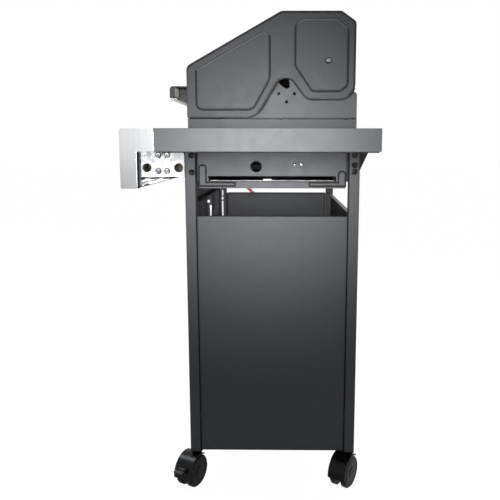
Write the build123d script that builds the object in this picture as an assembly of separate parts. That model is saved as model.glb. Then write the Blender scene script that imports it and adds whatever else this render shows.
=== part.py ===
"""Gas barbecue grill on a closed cart: hinged lid, two doors, side shelves, four swivel casters.

Millimetres. X runs to the right, Y to the rear and Z up. Everything is drawn with the cart's
middle at X = Y = 0, and the last step moves it so that the whole object's box is centred.
"""

import math
import os

from build123d import *

# Overall sizes
cart_width = 700.0
cart_depth = 410.0
shelf_overhang = 326.0
shelf_top_z = 880.5
lid_height = 236.5

# Sheet metal
sheet = 1.2
thick_sheet = 2.0
bend_radius = 3.0
contact_gap = 0.3
running_clearance = 0.06
overshoot = 2.0
hex_sides = 6

# Legs
leg_width = 30.0
leg_depth = 25.0
leg_wall = 1.5
leg_corner = 3.0

# Cabinet panels
panel_recess = 6.0
panel_gap = 1.5
panel_flange = 14.0
panel_drop = 194.5
tab_rise = 84.0
tab_height = 16.0
back_recess = 6.0
back_flange = 12.0
floor_side_gap = 0.5
floor_end_gap = 1.0
floor_leg_gap = 4.0
floor_front_reveal = 2.0

# Front rail above the doors
rail_rise = 30.0
rail_height = 49.0
rail_depth = 22.0
rail_reveal = 2.0

# Doors
door_depth = 16.0
door_leg_gap = 5.0
door_middle_gap = 4.0
door_top_gap = 4.0
door_bottom_gap = 4.0
door_pin_inset = 8.0
door_pin_radius = 3.0
door_pin_length = 12.0
door_handle_inset = 40.0
door_handle_reach = 32.0
door_handle_length = 220.0
door_handle_radius = 6.0
door_handle_post_width = 8.0
door_handle_post_inset = 20.0
door_handle_drop = 45.0

# Firebox
rim_above_shelf = 4.5
rim_height = 29.5
rim_inset = 10.0
rim_step = 2.0
rim_notch_width = 7.0
rim_notch_depth = 2.5
rim_notch_front_y = 19.4
rim_notch_rear_inset = 35.0
wall_leg_gap = 7.5
wall_inset = 11.5
rear_wall_rise = 68.0
end_drop = 132.0
end_recess = 6.0
runner_rise = 15.0
runner_width = 34.5
floor_rise = 47.0
floor_fall = 15.0
drain_half_width = 70.0
drain_half_length = 250.0
tamer_ledge_rise = 105.0
tamer_ledge_width = 12.0
gas_hole_radius = 13.0
gas_hole_y = -37.6
gas_hole_rise = 51.0
small_hole_radius = 2.0
small_hole_ys = (52.0, 68.0)
small_hole_rise = 56.0
rib_height = 1.5
rib_width = 12.5
rib_inset = 2.5
rib_foot_rise = 7.2
rib_foot_width = 4.5
rib_top_radius = 6.0
front_rib_top_rise = 52.7
rib_reach = 80.5
ear_reach = 17.5
ear_rise = 14.5
rear_rib_top_rise = 38.2

# Grease tray
tray_side_gap = 25.5
tray_wall = 1.2
tray_depth = 9.5
tray_lip = 2.5
tray_clearance = 3.0
tray_left_gap = 6.0
tray_reach = 2.0
tray_slot_height = 12.3
tray_tab_width = 19.0
tray_tab_height = 3.2
tray_tab_y = -11.0

# Lid, in the side view
lid_gap = 2.0
lid_inset_front = 9.0
lid_inset_rear = 14.5
lid_front_rise = 115.5
lid_slope_inset = 217.0
lid_chamfer_depth = 33.5
lid_chamfer_height = 23.0
lid_rear_foot_rise = 41.6
lid_rear_foot_width = 110.4
lid_arch_rise = 88.7
lid_arch_rear = 35.5
lid_arch_width = 26.4
lid_arch_slope = 53.8
lid_foot_radius = 5.0
lid_front_radius = 16.0
lid_crown_radius = 24.0
lid_chamfer_radius = 12.0
lid_rear_radius = 35.0
lid_heel_radius = 26.0
lid_arch_radius = 20.0
lid_arch_foot_radius = 50.0
lid_gap_to_plate = 1.0
emboss = 1.5
emboss_margin = 20.0
emboss_front_margin = 24.0
emboss_neck_inset = 135.7
emboss_neck = 62.0
emboss_arch_run = 38.0
emboss_arch_rise = 28.0
emboss_chamfer_run = 22.0
emboss_heel_run = 16.0
emboss_heel_rise = 12.0
emboss_radius = 13.0
emboss_tight_radius = 8.0
emboss_wide_radius = 20.0

# Lid hinge
hinge_rise = 129.5
hinge_inset = 77.0
hinge_bolt_radius = 4.0
hinge_head_radius = 6.6
hinge_head_height = 4.0
hinge_head_taper = 25.0
hinge_nut_radius = 7.0
hinge_nut_height = 6.0
hinge_boss_radius = 18.0
hinge_boss_corner = 14.0
plate_corner = 9.0
plate_notch_corner = 5.0
spit_seat_radius = 7.3
spit_inset = 171.8
spit_rise = 75.1
spit_notch_rise = 20.4
spit_front_angle = 141.0
spit_rear_angle = 101.0
motor_hole_radius = 3.25
motor_hole_spacing = 36.0
motor_hole_rise = 56.5
motor_hole_drop = 18.7
plate_front_inset = 20.0
plate_foot_height = 25.0
plate_rise_start = 100.0
plate_rise_end = 180.0
plate_shoulder_rise = 101.5
plate_arm_foot = 83.0
plate_rear_rise = 61.5

# Lid handle
handle_half_length = 300.0
handle_bracket_width = 50.0
handle_reach = 49.5
handle_height = 29.0
handle_rise = 47.5
handle_bar_depth = 16.0
handle_bar_height = 28.0
handle_bar_corner = 7.0
handle_bar_inset = 1.0
handle_round = 8.0
handle_heel_round = 2.0
handle_tip_wall = 12.8
handle_wall = 3.0
handle_pocket_depth = 43.0
handle_sole = 1.5

# Lid thermometer
dial_along_slope = 0.4
dial_radius = 36.0
dial_height = 10.0
dial_recess_radius = 32.0
dial_recess = 5.0
dial_stem_radius = 4.0
dial_stem_length = 40.0
needle_length = 26.0
needle_width = 3.0
needle_thickness = 1.0
needle_hub_radius = 4.0
needle_pin_radius = 1.5
needle_lift = 0.5
needle_rest_deg = 135.0

# Burners and what lies over them
burner_count = 4
burner_pitch = 171.0
burner_radius = 12.5
burner_bore_radius = 11.0
burner_cap = 3.0
burner_front_reach = 25.0
burner_rear_gap = 22.0
burner_tab_width = 12.0
burner_tab_height = 4.0
burner_rise = 73.0
tamer_half_width = 45.0
tamer_height = 24.0
tamer_end_gap = 1.0

# Cooking grates
grate_bars = 14
grate_bar_width = 8.0
grate_height = 14.0
grate_end_gap = 2.0
grate_side_gap = 6.0
grate_middle_gap = 2.0
grate_cross_width = 9.0
grate_cross_height = 5.0

# Warming rack
rack_rise = 98.0
rack_front_y = -70.0
rack_rear_y = 14.0
rack_long_wires = 5
rack_cross_bars = 8
rack_wire = 5.0
rack_end_gap = 1.0
rack_ledge_depth = 12.0

# Control panel and shelf fronts
panel_front_reach = 51.7
panel_face_height = 104.2
panel_return = 27.0
panel_bend_radius = 6.0
panel_sheet = 1.2
panel_arm_depth = 29.5
panel_lip = 15.0
shelf_thickness = 40.0
shelf_front_inset = 7.6
shelf_rear_inset = 9.8
stem_hole_radius = 6.0
bracket_height = 60.8
bracket_hole_radius = 10.5
shelf_bracket_length = 125.0
shelf_bracket_height = 43.8
shelf_bracket_flange = 12.0
shelf_bracket_lip = 6.0

# Gas line
manifold_radius = 8.0
manifold_stem_drop = 24.8
manifold_front_gap = 13.4
manifold_nut_radius = 11.5
manifold_nut_width = 4.0
manifold_end_gap = 50.0
hook_inset = 64.0
hook_width = 12.0
elbow_radius = 9.0
elbow_reach = 18.0
elbow_length = 20.0
valve_width = 22.0
valve_length = 40.0
valve_rear_gap = 3.0
valve_foot_width = 16.0
valve_nozzle_radius = 4.5
valve_nozzle_length = 16.0

# Knobs and valve stems
stem_radius = 4.0
stem_depth = 22.0
knob_panel_gap = 4.0
knob_skirt_radius = 25.0
knob_skirt_depth = 10.0
knob_grip_width = 15.0
knob_grip_length = 42.0
knob_grip_depth = 16.0
knob_grip_taper = 4.0
knob_bore_depth = 20.0
push_travel = 3.0

# Gas hose and regulator: the route is chosen by hand, from the corner of the inlet elbow
hose_diameter = 11.0
hose_route = [
    (0.0, 15.3, -12.8),
    (0.0, 68.4, -57.2),
    (-2.0, 168.4, -149.2),
    (-4.0, 206.4, -253.2),
    (-5.0, 212.4, -371.2),
    (-5.0, 212.4, -486.2),
]
hose_corner_share = 0.45
regulator_tail_radius = 6.0
regulator_tail_length = 20.0
regulator_radius = 30.0
regulator_thickness = 26.0
regulator_cap_radius = 18.0
regulator_cap_height = 9.0
regulator_nut_radius = 13.0
regulator_nut_length = 30.0

# Casters
swivel_inset_x = 31.0
swivel_inset_y = 11.5
caster_trail = 25.0
front_caster_angle = -25.5
rear_caster_angle = -31.0
caster_rise = 14.4
caster_plate_length = 58.0
caster_plate_width = 28.0
caster_plate_thickness = 2.0
swivel_pin_radius = 5.0
swivel_pin_length = 10.0
hood_neck_radius = 15.0
hood_neck_height = 12.5
wheel_diameter = 78.0
wheel_width = 14.0
wheel_gap = 18.0
wheel_chamfer = 4.0
axle_radius = 4.0
web_width = 13.0
web_hub_radius = 14.0
fender_gap = 2.0
fender_thickness = 3.0
fender_start_deg = -5.0
fender_end_deg = 125.0
fender_overlap = 1.5
lever_angle_deg = 26.0
lever_offset = 5.5
lever_hub = 7.0
lever_pin_radius = 2.0
lever_half_width = 8.5
lug_thickness = 4.0
lug_radius = 5.0
lug_gap = 0.5
lever_pad_length = 10.0
lever_pad_thickness = 2.5
lever_pad_half_width = 12.0

# Screw heads that show on the sides
screw_radius = 5.75
screw_height = 2.5
screw_sides = 10
screw_taper = 20.0
front_leg_screw_inset = 16.8
rear_leg_screw_inset = 12.5
front_leg_screw_drops = (50.5, 89.8)
rear_leg_screw_drops = (48.9, 72.7, 88.0)
bracket_screw_inset = 40.2
bracket_screw_drops = (49.0, 86.9)

# Places that follow from the sizes above
side_x = cart_width / 2
rear_y = cart_depth / 2
front_y = -rear_y
leg_x = side_x - leg_width / 2
leg_y = rear_y - leg_depth / 2
leg_inner_x = side_x - leg_width
leg_inner_y = rear_y - leg_depth
leg_bottom_z = wheel_diameter + caster_rise
ledge_z = shelf_top_z + rim_above_shelf
rim_top_z = ledge_z + rim_height
shelf_bottom_z = shelf_top_z - shelf_thickness
shelf_front_y = front_y + shelf_front_inset
shelf_rear_y = rear_y - shelf_rear_inset
end_face_x = side_x - end_recess
end_inner_x = end_face_x - thick_sheet
end_bottom_z = ledge_z - end_drop
rim_inner_x = end_face_x + rim_step
rim_outer_x = rim_inner_x + thick_sheet
rim_y = rear_y - rim_inset
wall_y = leg_inner_y - wall_leg_gap
upper_wall_y = rear_y - wall_inset
runner_z = end_bottom_z + runner_rise
panel_face_x = side_x - panel_recess
panel_half = leg_inner_y - panel_gap
panel_bottom_z = leg_bottom_z
panel_top_z = shelf_top_z - panel_drop
cabinet_floor_z = panel_bottom_z + sheet
rail_bottom_z = panel_top_z + rail_rise
door_front_y = front_y
door_back_y = front_y + door_depth
door_outer_x = leg_inner_x - door_leg_gap
door_inner_x = door_middle_gap / 2
door_bottom_z = cabinet_floor_z + sheet + door_bottom_gap
door_top_z = rail_bottom_z - door_top_gap
door_pin_x = door_outer_x - door_pin_inset
door_pin_y = front_y + door_depth / 2
lid_bottom_z = rim_top_z + lid_gap
lid_top_z = lid_bottom_z + lid_height
lid_front_y = front_y + lid_inset_front
lid_back_y = rear_y - lid_inset_rear
lid_inner_x = rim_inner_x + lid_gap_to_plate
lid_outer_x = lid_inner_x + thick_sheet
hinge_y = rear_y - hinge_inset
hinge_z = rim_top_z + hinge_rise
panel_y = front_y - panel_front_reach
panel_low_z = shelf_top_z - panel_face_height
shelf_end_x = side_x + shelf_overhang
burner_z = end_bottom_z + burner_rise
burner_xs = [(k - (burner_count - 1) / 2) * burner_pitch for k in range(burner_count)]
manifold_y = front_y - manifold_front_gap
stem_z = burner_z
manifold_z = stem_z - manifold_stem_drop
elbow_x = -side_x - elbow_reach
hose_points = [(elbow_x + x, manifold_y + y, manifold_z + z) for x, y, z in hose_route]
knob_back_y = panel_y - knob_panel_gap
knob_front_y = knob_back_y - knob_skirt_depth - knob_grip_depth
valve_rear_y = front_y - valve_rear_gap
valve_front_y = valve_rear_y - valve_length
tray_bottom_z = runner_z + sheet + contact_gap
tray_half_width = wall_y - tray_side_gap
rack_z = ledge_z + rack_rise
caster_plate_z = leg_bottom_z - caster_plate_thickness
wheel_radius = wheel_diameter / 2
swivel_x = side_x - swivel_inset_x
swivel_y = rear_y - swivel_inset_y
slope_start = (lid_front_y, lid_bottom_z + lid_front_rise)
slope_end = (lid_front_y + lid_slope_inset, lid_top_z)
slope_length = math.dist(slope_start, slope_end)
slope_up = ((slope_end[0] - slope_start[0]) / slope_length, (slope_end[1] - slope_start[1]) / slope_length)

# The box of the whole object is centred between the knob faces and the rear wheels or legs
rear_turn = math.radians(rear_caster_angle)
wheel_reach = (wheel_gap / 2 + wheel_width) * math.cos(rear_turn)
wheel_reach += wheel_radius * abs(math.sin(rear_turn))
wheel_rear_y = swivel_y + caster_trail * math.sin(rear_turn) + wheel_reach
origin_shift = -(knob_front_y + max(rear_y, wheel_rear_y)) / 2


# General shapes


def span(x, y, z):
    """Block that fills a range on each axis."""
    middle = Pos((x[0] + x[1]) / 2, (y[0] + y[1]) / 2, (z[0] + z[1]) / 2)
    return middle * Box(x[1] - x[0], y[1] - y[0], z[1] - z[0])


def pan(x, y, z, wall, open_axis, open_sign):
    """Block hollowed to sheet walls, open on one side."""
    low = [x[0] + wall, y[0] + wall, z[0] + wall]
    high = [x[1] - wall, y[1] - wall, z[1] - wall]
    if open_sign > 0:
        high[open_axis] += wall + overshoot
    else:
        low[open_axis] -= wall + overshoot
    return span(x, y, z) - span(*zip(low, high))


def rod(start, end, radius):
    """Round bar between two points."""
    run = Vector(*end) - Vector(*start)
    seat = Plane(origin=start, z_dir=run)
    return seat * Cylinder(radius, run.length, align=(Align.CENTER, Align.CENTER, Align.MIN))


def hex_bar(start, end, radius):
    """Six-sided bar between two points, such as a nut."""
    run = Vector(*end) - Vector(*start)
    seat = Plane(origin=start, z_dir=run)
    return seat * extrude(RegularPolygon(radius, hex_sides), run.length)


def side_plate(corners, radii, low_x, thickness):
    """Flat plate drawn in the side view, with its own radius at each corner."""
    face = make_face(FilletPolyline(*corners, radius=radii, close=True))
    return Plane.YZ.offset(low_x) * extrude(face, thickness)


def bent_sheet(line, radii, thickness, low_x, high_x):
    """Folded sheet drawn in the side view; the sheet lies to the right of the line."""
    path = FilletPolyline(*line, radius=radii)
    face = make_face(offset(path, thickness, side=Side.RIGHT))
    return Plane.YZ.offset(low_x) * extrude(face, high_x - low_x)


def mirrored(shape):
    """Left-hand twin of a right-hand piece."""
    return mirror(shape, about=Plane.YZ)


def group(pieces):
    """Separate solids kept together in one node."""
    return Compound([solid for piece in pieces for solid in piece.solids()])


# Cart


def leg(x_sign, y_sign):
    outer = RectangleRounded(leg_width, leg_depth, leg_corner)
    inner = Rectangle(leg_width - 2 * leg_wall, leg_depth - 2 * leg_wall)
    tube = extrude(outer - inner, ledge_z - leg_bottom_z)
    return Pos(x_sign * leg_x, y_sign * leg_y, leg_bottom_z) * tube


def side_panel():
    """Pan between the legs of one side, held to them by two small tabs."""
    x = (panel_face_x - panel_flange, panel_face_x)
    y = (-panel_half, panel_half)
    panel = pan(x, y, (panel_bottom_z, panel_top_z), sheet, 0, -1)
    tab_z = (panel_bottom_z + tab_rise, panel_bottom_z + tab_rise + tab_height)
    tab_x = (panel_face_x - sheet, panel_face_x)
    panel += span(tab_x, (-leg_inner_y, -panel_half), tab_z)
    panel += span(tab_x, (panel_half, leg_inner_y), tab_z)
    return panel


def back_panel():
    face_y = rear_y - back_recess
    y = (face_y - back_flange, face_y)
    return pan((-leg_inner_x, leg_inner_x), y, (panel_bottom_z, panel_top_z), sheet, 1, -1)


def bottom_shelf():
    """Cabinet floor: it lies on the lower flanges of the side and back panels."""
    z = (cabinet_floor_z, cabinet_floor_z + sheet)
    half_x = panel_face_x - sheet - floor_side_gap
    half_y = panel_half - sheet - floor_end_gap
    floor = span((-half_x, half_x), (-half_y, half_y), z)
    middle_x = leg_inner_x - floor_leg_gap
    rear = rear_y - back_recess - sheet - floor_side_gap
    return floor + span((-middle_x, middle_x), (front_y + floor_front_reveal, rear), z)


def front_rail():
    """Channel between the front legs, over the doors."""
    front = front_y + rail_reveal
    back = front + rail_depth
    top_z = rail_bottom_z + rail_height
    line = [(back, rail_bottom_z), (front, rail_bottom_z), (front, top_z), (back, top_z)]
    return bent_sheet(line, [bend_radius, bend_radius], sheet, -leg_inner_x, leg_inner_x)


# Doors


def door():
    """Right-hand door, a pan that opens at the back, with a pin hole at top and bottom."""
    x = (door_inner_x, door_outer_x)
    shell = pan(x, (door_front_y, door_back_y), (door_bottom_z, door_top_z), sheet, 1, 1)
    low = (door_pin_x, door_pin_y, door_bottom_z - overshoot)
    high = (door_pin_x, door_pin_y, door_top_z + overshoot)
    return shell - rod(low, high, door_pin_radius + running_clearance)


def door_hinge_pins():
    """A pin above and below each door, in the rail and in the cabinet floor."""
    floor_top = cabinet_floor_z + sheet
    pins = []
    for x in (-door_pin_x, door_pin_x):
        upper_low = (x, door_pin_y, door_top_z - door_pin_length)
        lower_high = (x, door_pin_y, door_bottom_z + door_pin_length)
        pins.append(rod(upper_low, (x, door_pin_y, rail_bottom_z), door_pin_radius))
        pins.append(rod((x, door_pin_y, floor_top), lower_high, door_pin_radius))
    return group(pins)


def door_handle():
    """Upright bar on two posts, near the free edge of the right-hand door."""
    x = door_inner_x + door_handle_inset
    y = door_front_y - door_handle_reach
    top = door_top_z - door_handle_drop
    bottom = top - door_handle_length
    bar = rod((x, y, bottom), (x, y, top), door_handle_radius)
    half = door_handle_post_width / 2
    for z in (bottom + door_handle_post_inset, top - door_handle_post_inset):
        bar += span((x - half, x + half), (y, door_front_y), (z - half, z + half))
    return bar


# Firebox


def firebox_side(top_z):
    """Front wall in the side view: runner, lower wall, grate ledge and upper wall."""
    runner_y = -wall_y + runner_width
    line = [
        (runner_y, runner_z),
        (-wall_y, runner_z),
        (-wall_y, ledge_z),
        (-upper_wall_y, ledge_z),
        (-upper_wall_y, top_z),
    ]
    wall = bent_sheet(line, [bend_radius] * 3, sheet, -end_inner_x, end_inner_x)
    ledge_low = end_bottom_z + tamer_ledge_rise
    ledge_y = (-wall_y, -wall_y + sheet + tamer_ledge_width)
    return wall + span((-end_inner_x, end_inner_x), ledge_y, (ledge_low, ledge_low + sheet))


def firebox_shell():
    """Front, rear and sloping floor in one shell, open above, with a drain over the tray."""
    floor_z = end_bottom_z + floor_rise
    low_z = floor_z - floor_fall
    outline = [
        (-wall_y, floor_z),
        (0, low_z),
        (wall_y, floor_z),
        (wall_y, floor_z + sheet),
        (0, low_z + sheet),
        (-wall_y, floor_z + sheet),
    ]
    section = make_face(Polyline(*outline, close=True))
    floor = Plane.YZ.offset(-end_inner_x) * extrude(section, 2 * end_inner_x)
    drain_x = (-drain_half_length, drain_half_length)
    floor -= span(drain_x, (-drain_half_width, drain_half_width), (low_z - overshoot, floor_z + overshoot))
    rear = mirror(firebox_side(ledge_z + rear_wall_rise), about=Plane.XZ)
    shell = firebox_side(rim_top_z) + rear + floor
    for x in burner_xs:
        front_hole = rod((x, -wall_y - overshoot, burner_z), (x, -wall_y + sheet + overshoot, burner_z),
                         burner_radius + contact_gap)
        rear_slot = span(*burner_tab(x, wall_y - sheet - overshoot, wall_y + overshoot, contact_gap))
        shell -= front_hole + rear_slot
    return shell


def corner_rib(y_sign, top_rise):
    """Pressed rib in the shape of an L, at one lower corner of the end plate."""
    outer = wall_y - rib_inset
    inner = outer - rib_width
    low = end_bottom_z + rib_foot_rise
    foot_top = low + rib_foot_width
    top = end_bottom_z + top_rise
    corners = [
        (y_sign * outer, low),
        (y_sign * outer, top),
        (y_sign * inner, top),
        (y_sign * inner, foot_top),
        (y_sign * (outer - rib_reach), foot_top),
        (y_sign * (outer - rib_reach), low),
    ]
    return side_plate(corners, [0, rib_top_radius, rib_top_radius, 0, 0, 0], end_face_x, rib_height)


def end_ear(y_sign):
    """Folded edge of the end plate: a web along the shell and an ear on the leg's inner face."""
    z = (end_bottom_z + ear_rise, ledge_z - bend_radius)
    web_y = sorted((y_sign * wall_y, y_sign * (wall_y + sheet)))
    ear_y = sorted((y_sign * wall_y, y_sign * (wall_y + ear_reach)))
    ear_x = (leg_inner_x - sheet, leg_inner_x)
    return span((ear_x[0], end_face_x), web_y, z) + span(ear_x, ear_y, z)


def firebox_end(with_slot):
    """Right-hand end: flat plate, ledge on the leg tops and a stepped rim under the lid."""
    plate = span((end_inner_x, end_face_x), (-wall_y, wall_y), (end_bottom_z, ledge_z + thick_sheet))
    plate += span((end_inner_x, rim_outer_x), (-rim_y, rim_y), (ledge_z, ledge_z + thick_sheet))
    plate += span((rim_inner_x, rim_outer_x), (-rim_y, rim_y), (ledge_z, rim_top_z))
    plate += corner_rib(-1, front_rib_top_rise)
    plate += corner_rib(1, rear_rib_top_rise)
    plate += end_ear(-1) + end_ear(1)
    through = (end_inner_x - overshoot, end_face_x + overshoot)
    gas_z = end_bottom_z + gas_hole_rise
    plate -= rod((through[0], gas_hole_y, gas_z), (through[1], gas_hole_y, gas_z), gas_hole_radius)
    for y in small_hole_ys:
        z = end_bottom_z + small_hole_rise
        plate -= rod((through[0], y, z), (through[1], y, z), small_hole_radius)
    for y in (rim_notch_front_y, rear_y - rim_notch_rear_inset):
        notch_y = (y - rim_notch_width / 2, y + rim_notch_width / 2)
        plate -= span((rim_inner_x - overshoot, rim_outer_x + overshoot), notch_y,
                      (rim_top_z - rim_notch_depth, rim_top_z + overshoot))
    if with_slot:
        half = tray_half_width + tray_clearance
        slot_low = tray_bottom_z - contact_gap
        plate -= span(through, (-half, half), (slot_low, slot_low + tray_slot_height))
    return plate


def spit_notch():
    """Outline of the spit's seat: a round bottom that widens upwards and to the front."""
    y = rear_y - spit_inset
    z = rim_top_z + spit_rise
    front = math.radians(spit_front_angle)
    rear = math.radians(spit_rear_angle)
    top = z + spit_notch_rise
    front_foot = (y - spit_seat_radius * math.sin(front), z + spit_seat_radius * math.cos(front))
    rear_foot = (y + spit_seat_radius * math.sin(rear), z - spit_seat_radius * math.cos(rear))
    front_tip = (front_foot[0] + (top - front_foot[1]) / math.tan(front), top)
    rear_tip = (rear_foot[0] + (top - rear_foot[1]) / math.tan(rear), top)
    funnel = make_face(Polyline(front_foot, front_tip, rear_tip, rear_foot, (y, z), close=True))
    return funnel + Pos(y, z) * Circle(spit_seat_radius)


def hinge_plate():
    """Right-hand plate that stands in the rim and carries the lid's bolt, the spit and the rack."""
    base = ledge_z + thick_sheet
    front = front_y + plate_front_inset
    boss = hinge_boss_radius
    rear_top = rim_top_z + plate_rear_rise
    corners = [
        (front, base),
        (front, base + plate_foot_height),
        (front_y + plate_rise_start, base + plate_foot_height),
        (front_y + plate_rise_end, rim_top_z + plate_shoulder_rise),
        (hinge_y - 2 * boss, hinge_z + boss),
        (hinge_y + boss, hinge_z + boss),
        (hinge_y + boss, hinge_z - boss),
        (rear_y - plate_arm_foot, rear_top),
        (rim_y, rear_top),
        (rim_y, base),
    ]
    radii = [0, 0, boss, boss, 0, hinge_boss_corner, hinge_boss_corner, plate_notch_corner, plate_corner, 0]
    plate = side_plate(corners, radii, end_face_x, rim_inner_x - end_face_x)
    ledge_top = rack_z - rack_wire / 2 - contact_gap
    ledge_x = (end_face_x - rack_ledge_depth, end_face_x + overshoot / 2)
    plate += span(ledge_x, (rack_front_y, rack_rear_y), (ledge_top - sheet, ledge_top))
    through = (end_face_x - overshoot, rim_inner_x + overshoot)
    plate -= Plane.YZ.offset(through[0]) * extrude(spit_notch(), through[1] - through[0])
    spit_y = rear_y - spit_inset
    motor_z = rim_top_z + motor_hole_rise
    half = motor_hole_spacing / 2
    holes = [(spit_y - half, motor_z), (spit_y + half, motor_z), (spit_y, motor_z - motor_hole_drop)]
    for y, z in holes:
        plate -= rod((through[0], y, z), (through[1], y, z), motor_hole_radius)
    plate -= rod((through[0], hinge_y, hinge_z), (through[1], hinge_y, hinge_z),
                 hinge_bolt_radius + running_clearance)
    return plate


def burner_tubes():
    """Round burners: open mouth in front of the wall, a flat tab in the rear wall."""
    tubes = []
    for x in burner_xs:
        mouth = -wall_y - burner_front_reach
        tail = wall_y - burner_rear_gap
        tube = rod((x, mouth, burner_z), (x, tail, burner_z), burner_radius)
        tube += span(*burner_tab(x, tail - sheet, wall_y, 0))
        tube -= rod((x, mouth, burner_z), (x, tail - burner_cap, burner_z), burner_bore_radius)
        tubes.append(tube)
    return group(tubes)


def burner_tab(x, low_y, high_y, room):
    """Ranges of a burner's tail tab, or with some room of the slot that it sits in."""
    half_x = burner_tab_width / 2 + room
    half_z = burner_tab_height / 2 + room
    return (x - half_x, x + half_x), (low_y, high_y), (burner_z - half_z, burner_z + half_z)


def flame_tamers():
    """Roof-shaped covers over the burners, end to end on the wall ledges."""
    ledge_top = end_bottom_z + tamer_ledge_rise + sheet
    half_y = wall_y - sheet - tamer_end_gap
    outline = [
        (-tamer_half_width, 0),
        (0, tamer_height),
        (tamer_half_width, 0),
        (tamer_half_width - 2 * sheet, 0),
        (0, tamer_height - 2 * sheet),
        (-tamer_half_width + 2 * sheet, 0),
    ]
    roof = extrude(make_face(Polyline(*outline, close=True)), 2 * half_y)
    seat = Plane(origin=(0, half_y, ledge_top), x_dir=(1, 0, 0), z_dir=(0, -1, 0))
    return group([Pos(x, 0, 0) * (seat * roof) for x in burner_xs])


def cooking_grate():
    """Right-hand cast grate: bars from front to rear over three cross bars."""
    low_x = grate_middle_gap
    high_x = end_inner_x - grate_side_gap
    half_y = upper_wall_y - sheet - grate_end_gap
    base = ledge_z + sheet
    pitch = (high_x - low_x - grate_bar_width) / (grate_bars - 1)
    bars = []
    for y in (-half_y, -grate_cross_width / 2, half_y - grate_cross_width):
        bars.append(span((low_x, high_x), (y, y + grate_cross_width), (base, base + grate_cross_height)))
    for k in range(grate_bars):
        x = low_x + k * pitch
        bar_z = (base + grate_cross_height, base + grate_height)
        bars.append(span((x, x + grate_bar_width), (-half_y, half_y), bar_z))
    return bars[0] + bars[1:]


def warming_rack():
    """Long wires over cross bars; the wires lie on the ledges of the two hinge plates."""
    half_x = end_face_x - rack_end_gap
    half_wire = rack_wire / 2
    step_y = (rack_rear_y - rack_front_y - rack_wire) / (rack_long_wires - 1)
    wires = []
    for k in range(rack_long_wires):
        y = rack_front_y + k * step_y
        wires.append(span((-half_x, half_x), (y, y + rack_wire), (rack_z - half_wire, rack_z + half_wire)))
    inner_x = half_x - rack_ledge_depth - rack_wire
    step_x = 2 * inner_x / (rack_cross_bars - 1)
    for k in range(rack_cross_bars):
        x = -inner_x + k * step_x
        bar_z = (rack_z - half_wire - rack_wire, rack_z - half_wire)
        wires.append(span((x - half_wire, x + half_wire), (rack_front_y, rack_rear_y), bar_z))
    return wires[0] + wires[1:]


def grease_tray():
    """Shallow tray on the runners, with a low end lip and a finger tab at the slot."""
    x = (-end_inner_x + tray_left_gap, end_face_x + tray_reach)
    top = tray_bottom_z + tray_depth
    tray = pan(x, (-tray_half_width, tray_half_width), (tray_bottom_z, top), tray_wall, 2, 1)
    lip_y = (-tray_half_width + tray_wall, tray_half_width - tray_wall)
    end_x = (x[1] - tray_wall, x[1])
    cut_x = (end_x[0] - overshoot, end_x[1] + overshoot)
    tray -= span(cut_x, lip_y, (tray_bottom_z + tray_lip, top + overshoot))
    tab_y = (tray_tab_y - tray_tab_width / 2, tray_tab_y + tray_tab_width / 2)
    tab_top = tray_bottom_z + tray_lip + tray_tab_height
    return tray + span(end_x, tab_y, (tray_bottom_z, tab_top))


# Lid


def lid_outline():
    """Side outline of the lid with the radius at each corner, from the front foot clockwise."""
    foot_z = lid_bottom_z + lid_rear_foot_rise
    arch_z = lid_bottom_z + lid_arch_rise
    foot_front = lid_back_y - lid_rear_foot_width
    arch_rear = foot_front - lid_arch_rear
    arch_front = arch_rear - lid_arch_width
    return [
        ((lid_front_y, lid_bottom_z), lid_foot_radius),
        (slope_start, lid_front_radius),
        (slope_end, lid_crown_radius),
        ((lid_back_y - lid_chamfer_depth, lid_top_z), lid_chamfer_radius),
        ((lid_back_y, lid_top_z - lid_chamfer_height), lid_chamfer_radius),
        ((lid_back_y, foot_z), lid_rear_radius),
        ((foot_front, foot_z), lid_heel_radius),
        ((arch_rear, arch_z), lid_arch_radius),
        ((arch_front, arch_z), lid_arch_radius),
        ((arch_front - lid_arch_slope, lid_bottom_z), lid_arch_foot_radius),
    ]


def lid_pads():
    """The two raised fields of the lid's end: outlines that keep a margin from its edge."""
    margin = emboss_margin
    low_z = lid_bottom_z + margin
    foot_z = lid_bottom_z + lid_rear_foot_rise + margin
    arch_z = lid_bottom_z + lid_arch_rise
    high_z = lid_top_z - margin
    front = lid_front_y + emboss_front_margin
    back = lid_back_y - margin
    neck_rear = lid_back_y - emboss_neck_inset
    neck_front = neck_rear - emboss_neck
    rise = slope_up[1] / slope_up[0]
    low_slope_z = slope_start[1] - margin / slope_up[0]
    front_pad = [
        ((front, low_z), emboss_radius),
        ((front, low_slope_z + rise * (front - lid_front_y)), emboss_tight_radius),
        ((neck_front, low_slope_z + rise * (neck_front - lid_front_y)), emboss_radius),
        ((neck_front, arch_z), emboss_wide_radius),
        ((neck_front - emboss_arch_run, low_z), emboss_wide_radius),
    ]
    rear_pad = [
        ((neck_rear, high_z), emboss_wide_radius),
        ((back - emboss_chamfer_run, high_z), emboss_radius),
        ((back, high_z - margin), emboss_radius),
        ((back, foot_z + emboss_heel_rise), emboss_tight_radius),
        ((back - emboss_heel_run, foot_z), emboss_tight_radius),
        ((neck_rear + emboss_arch_run, foot_z), emboss_tight_radius),
        ((neck_rear, arch_z + emboss_arch_rise), emboss_radius),
    ]
    return front_pad, rear_pad


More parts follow.
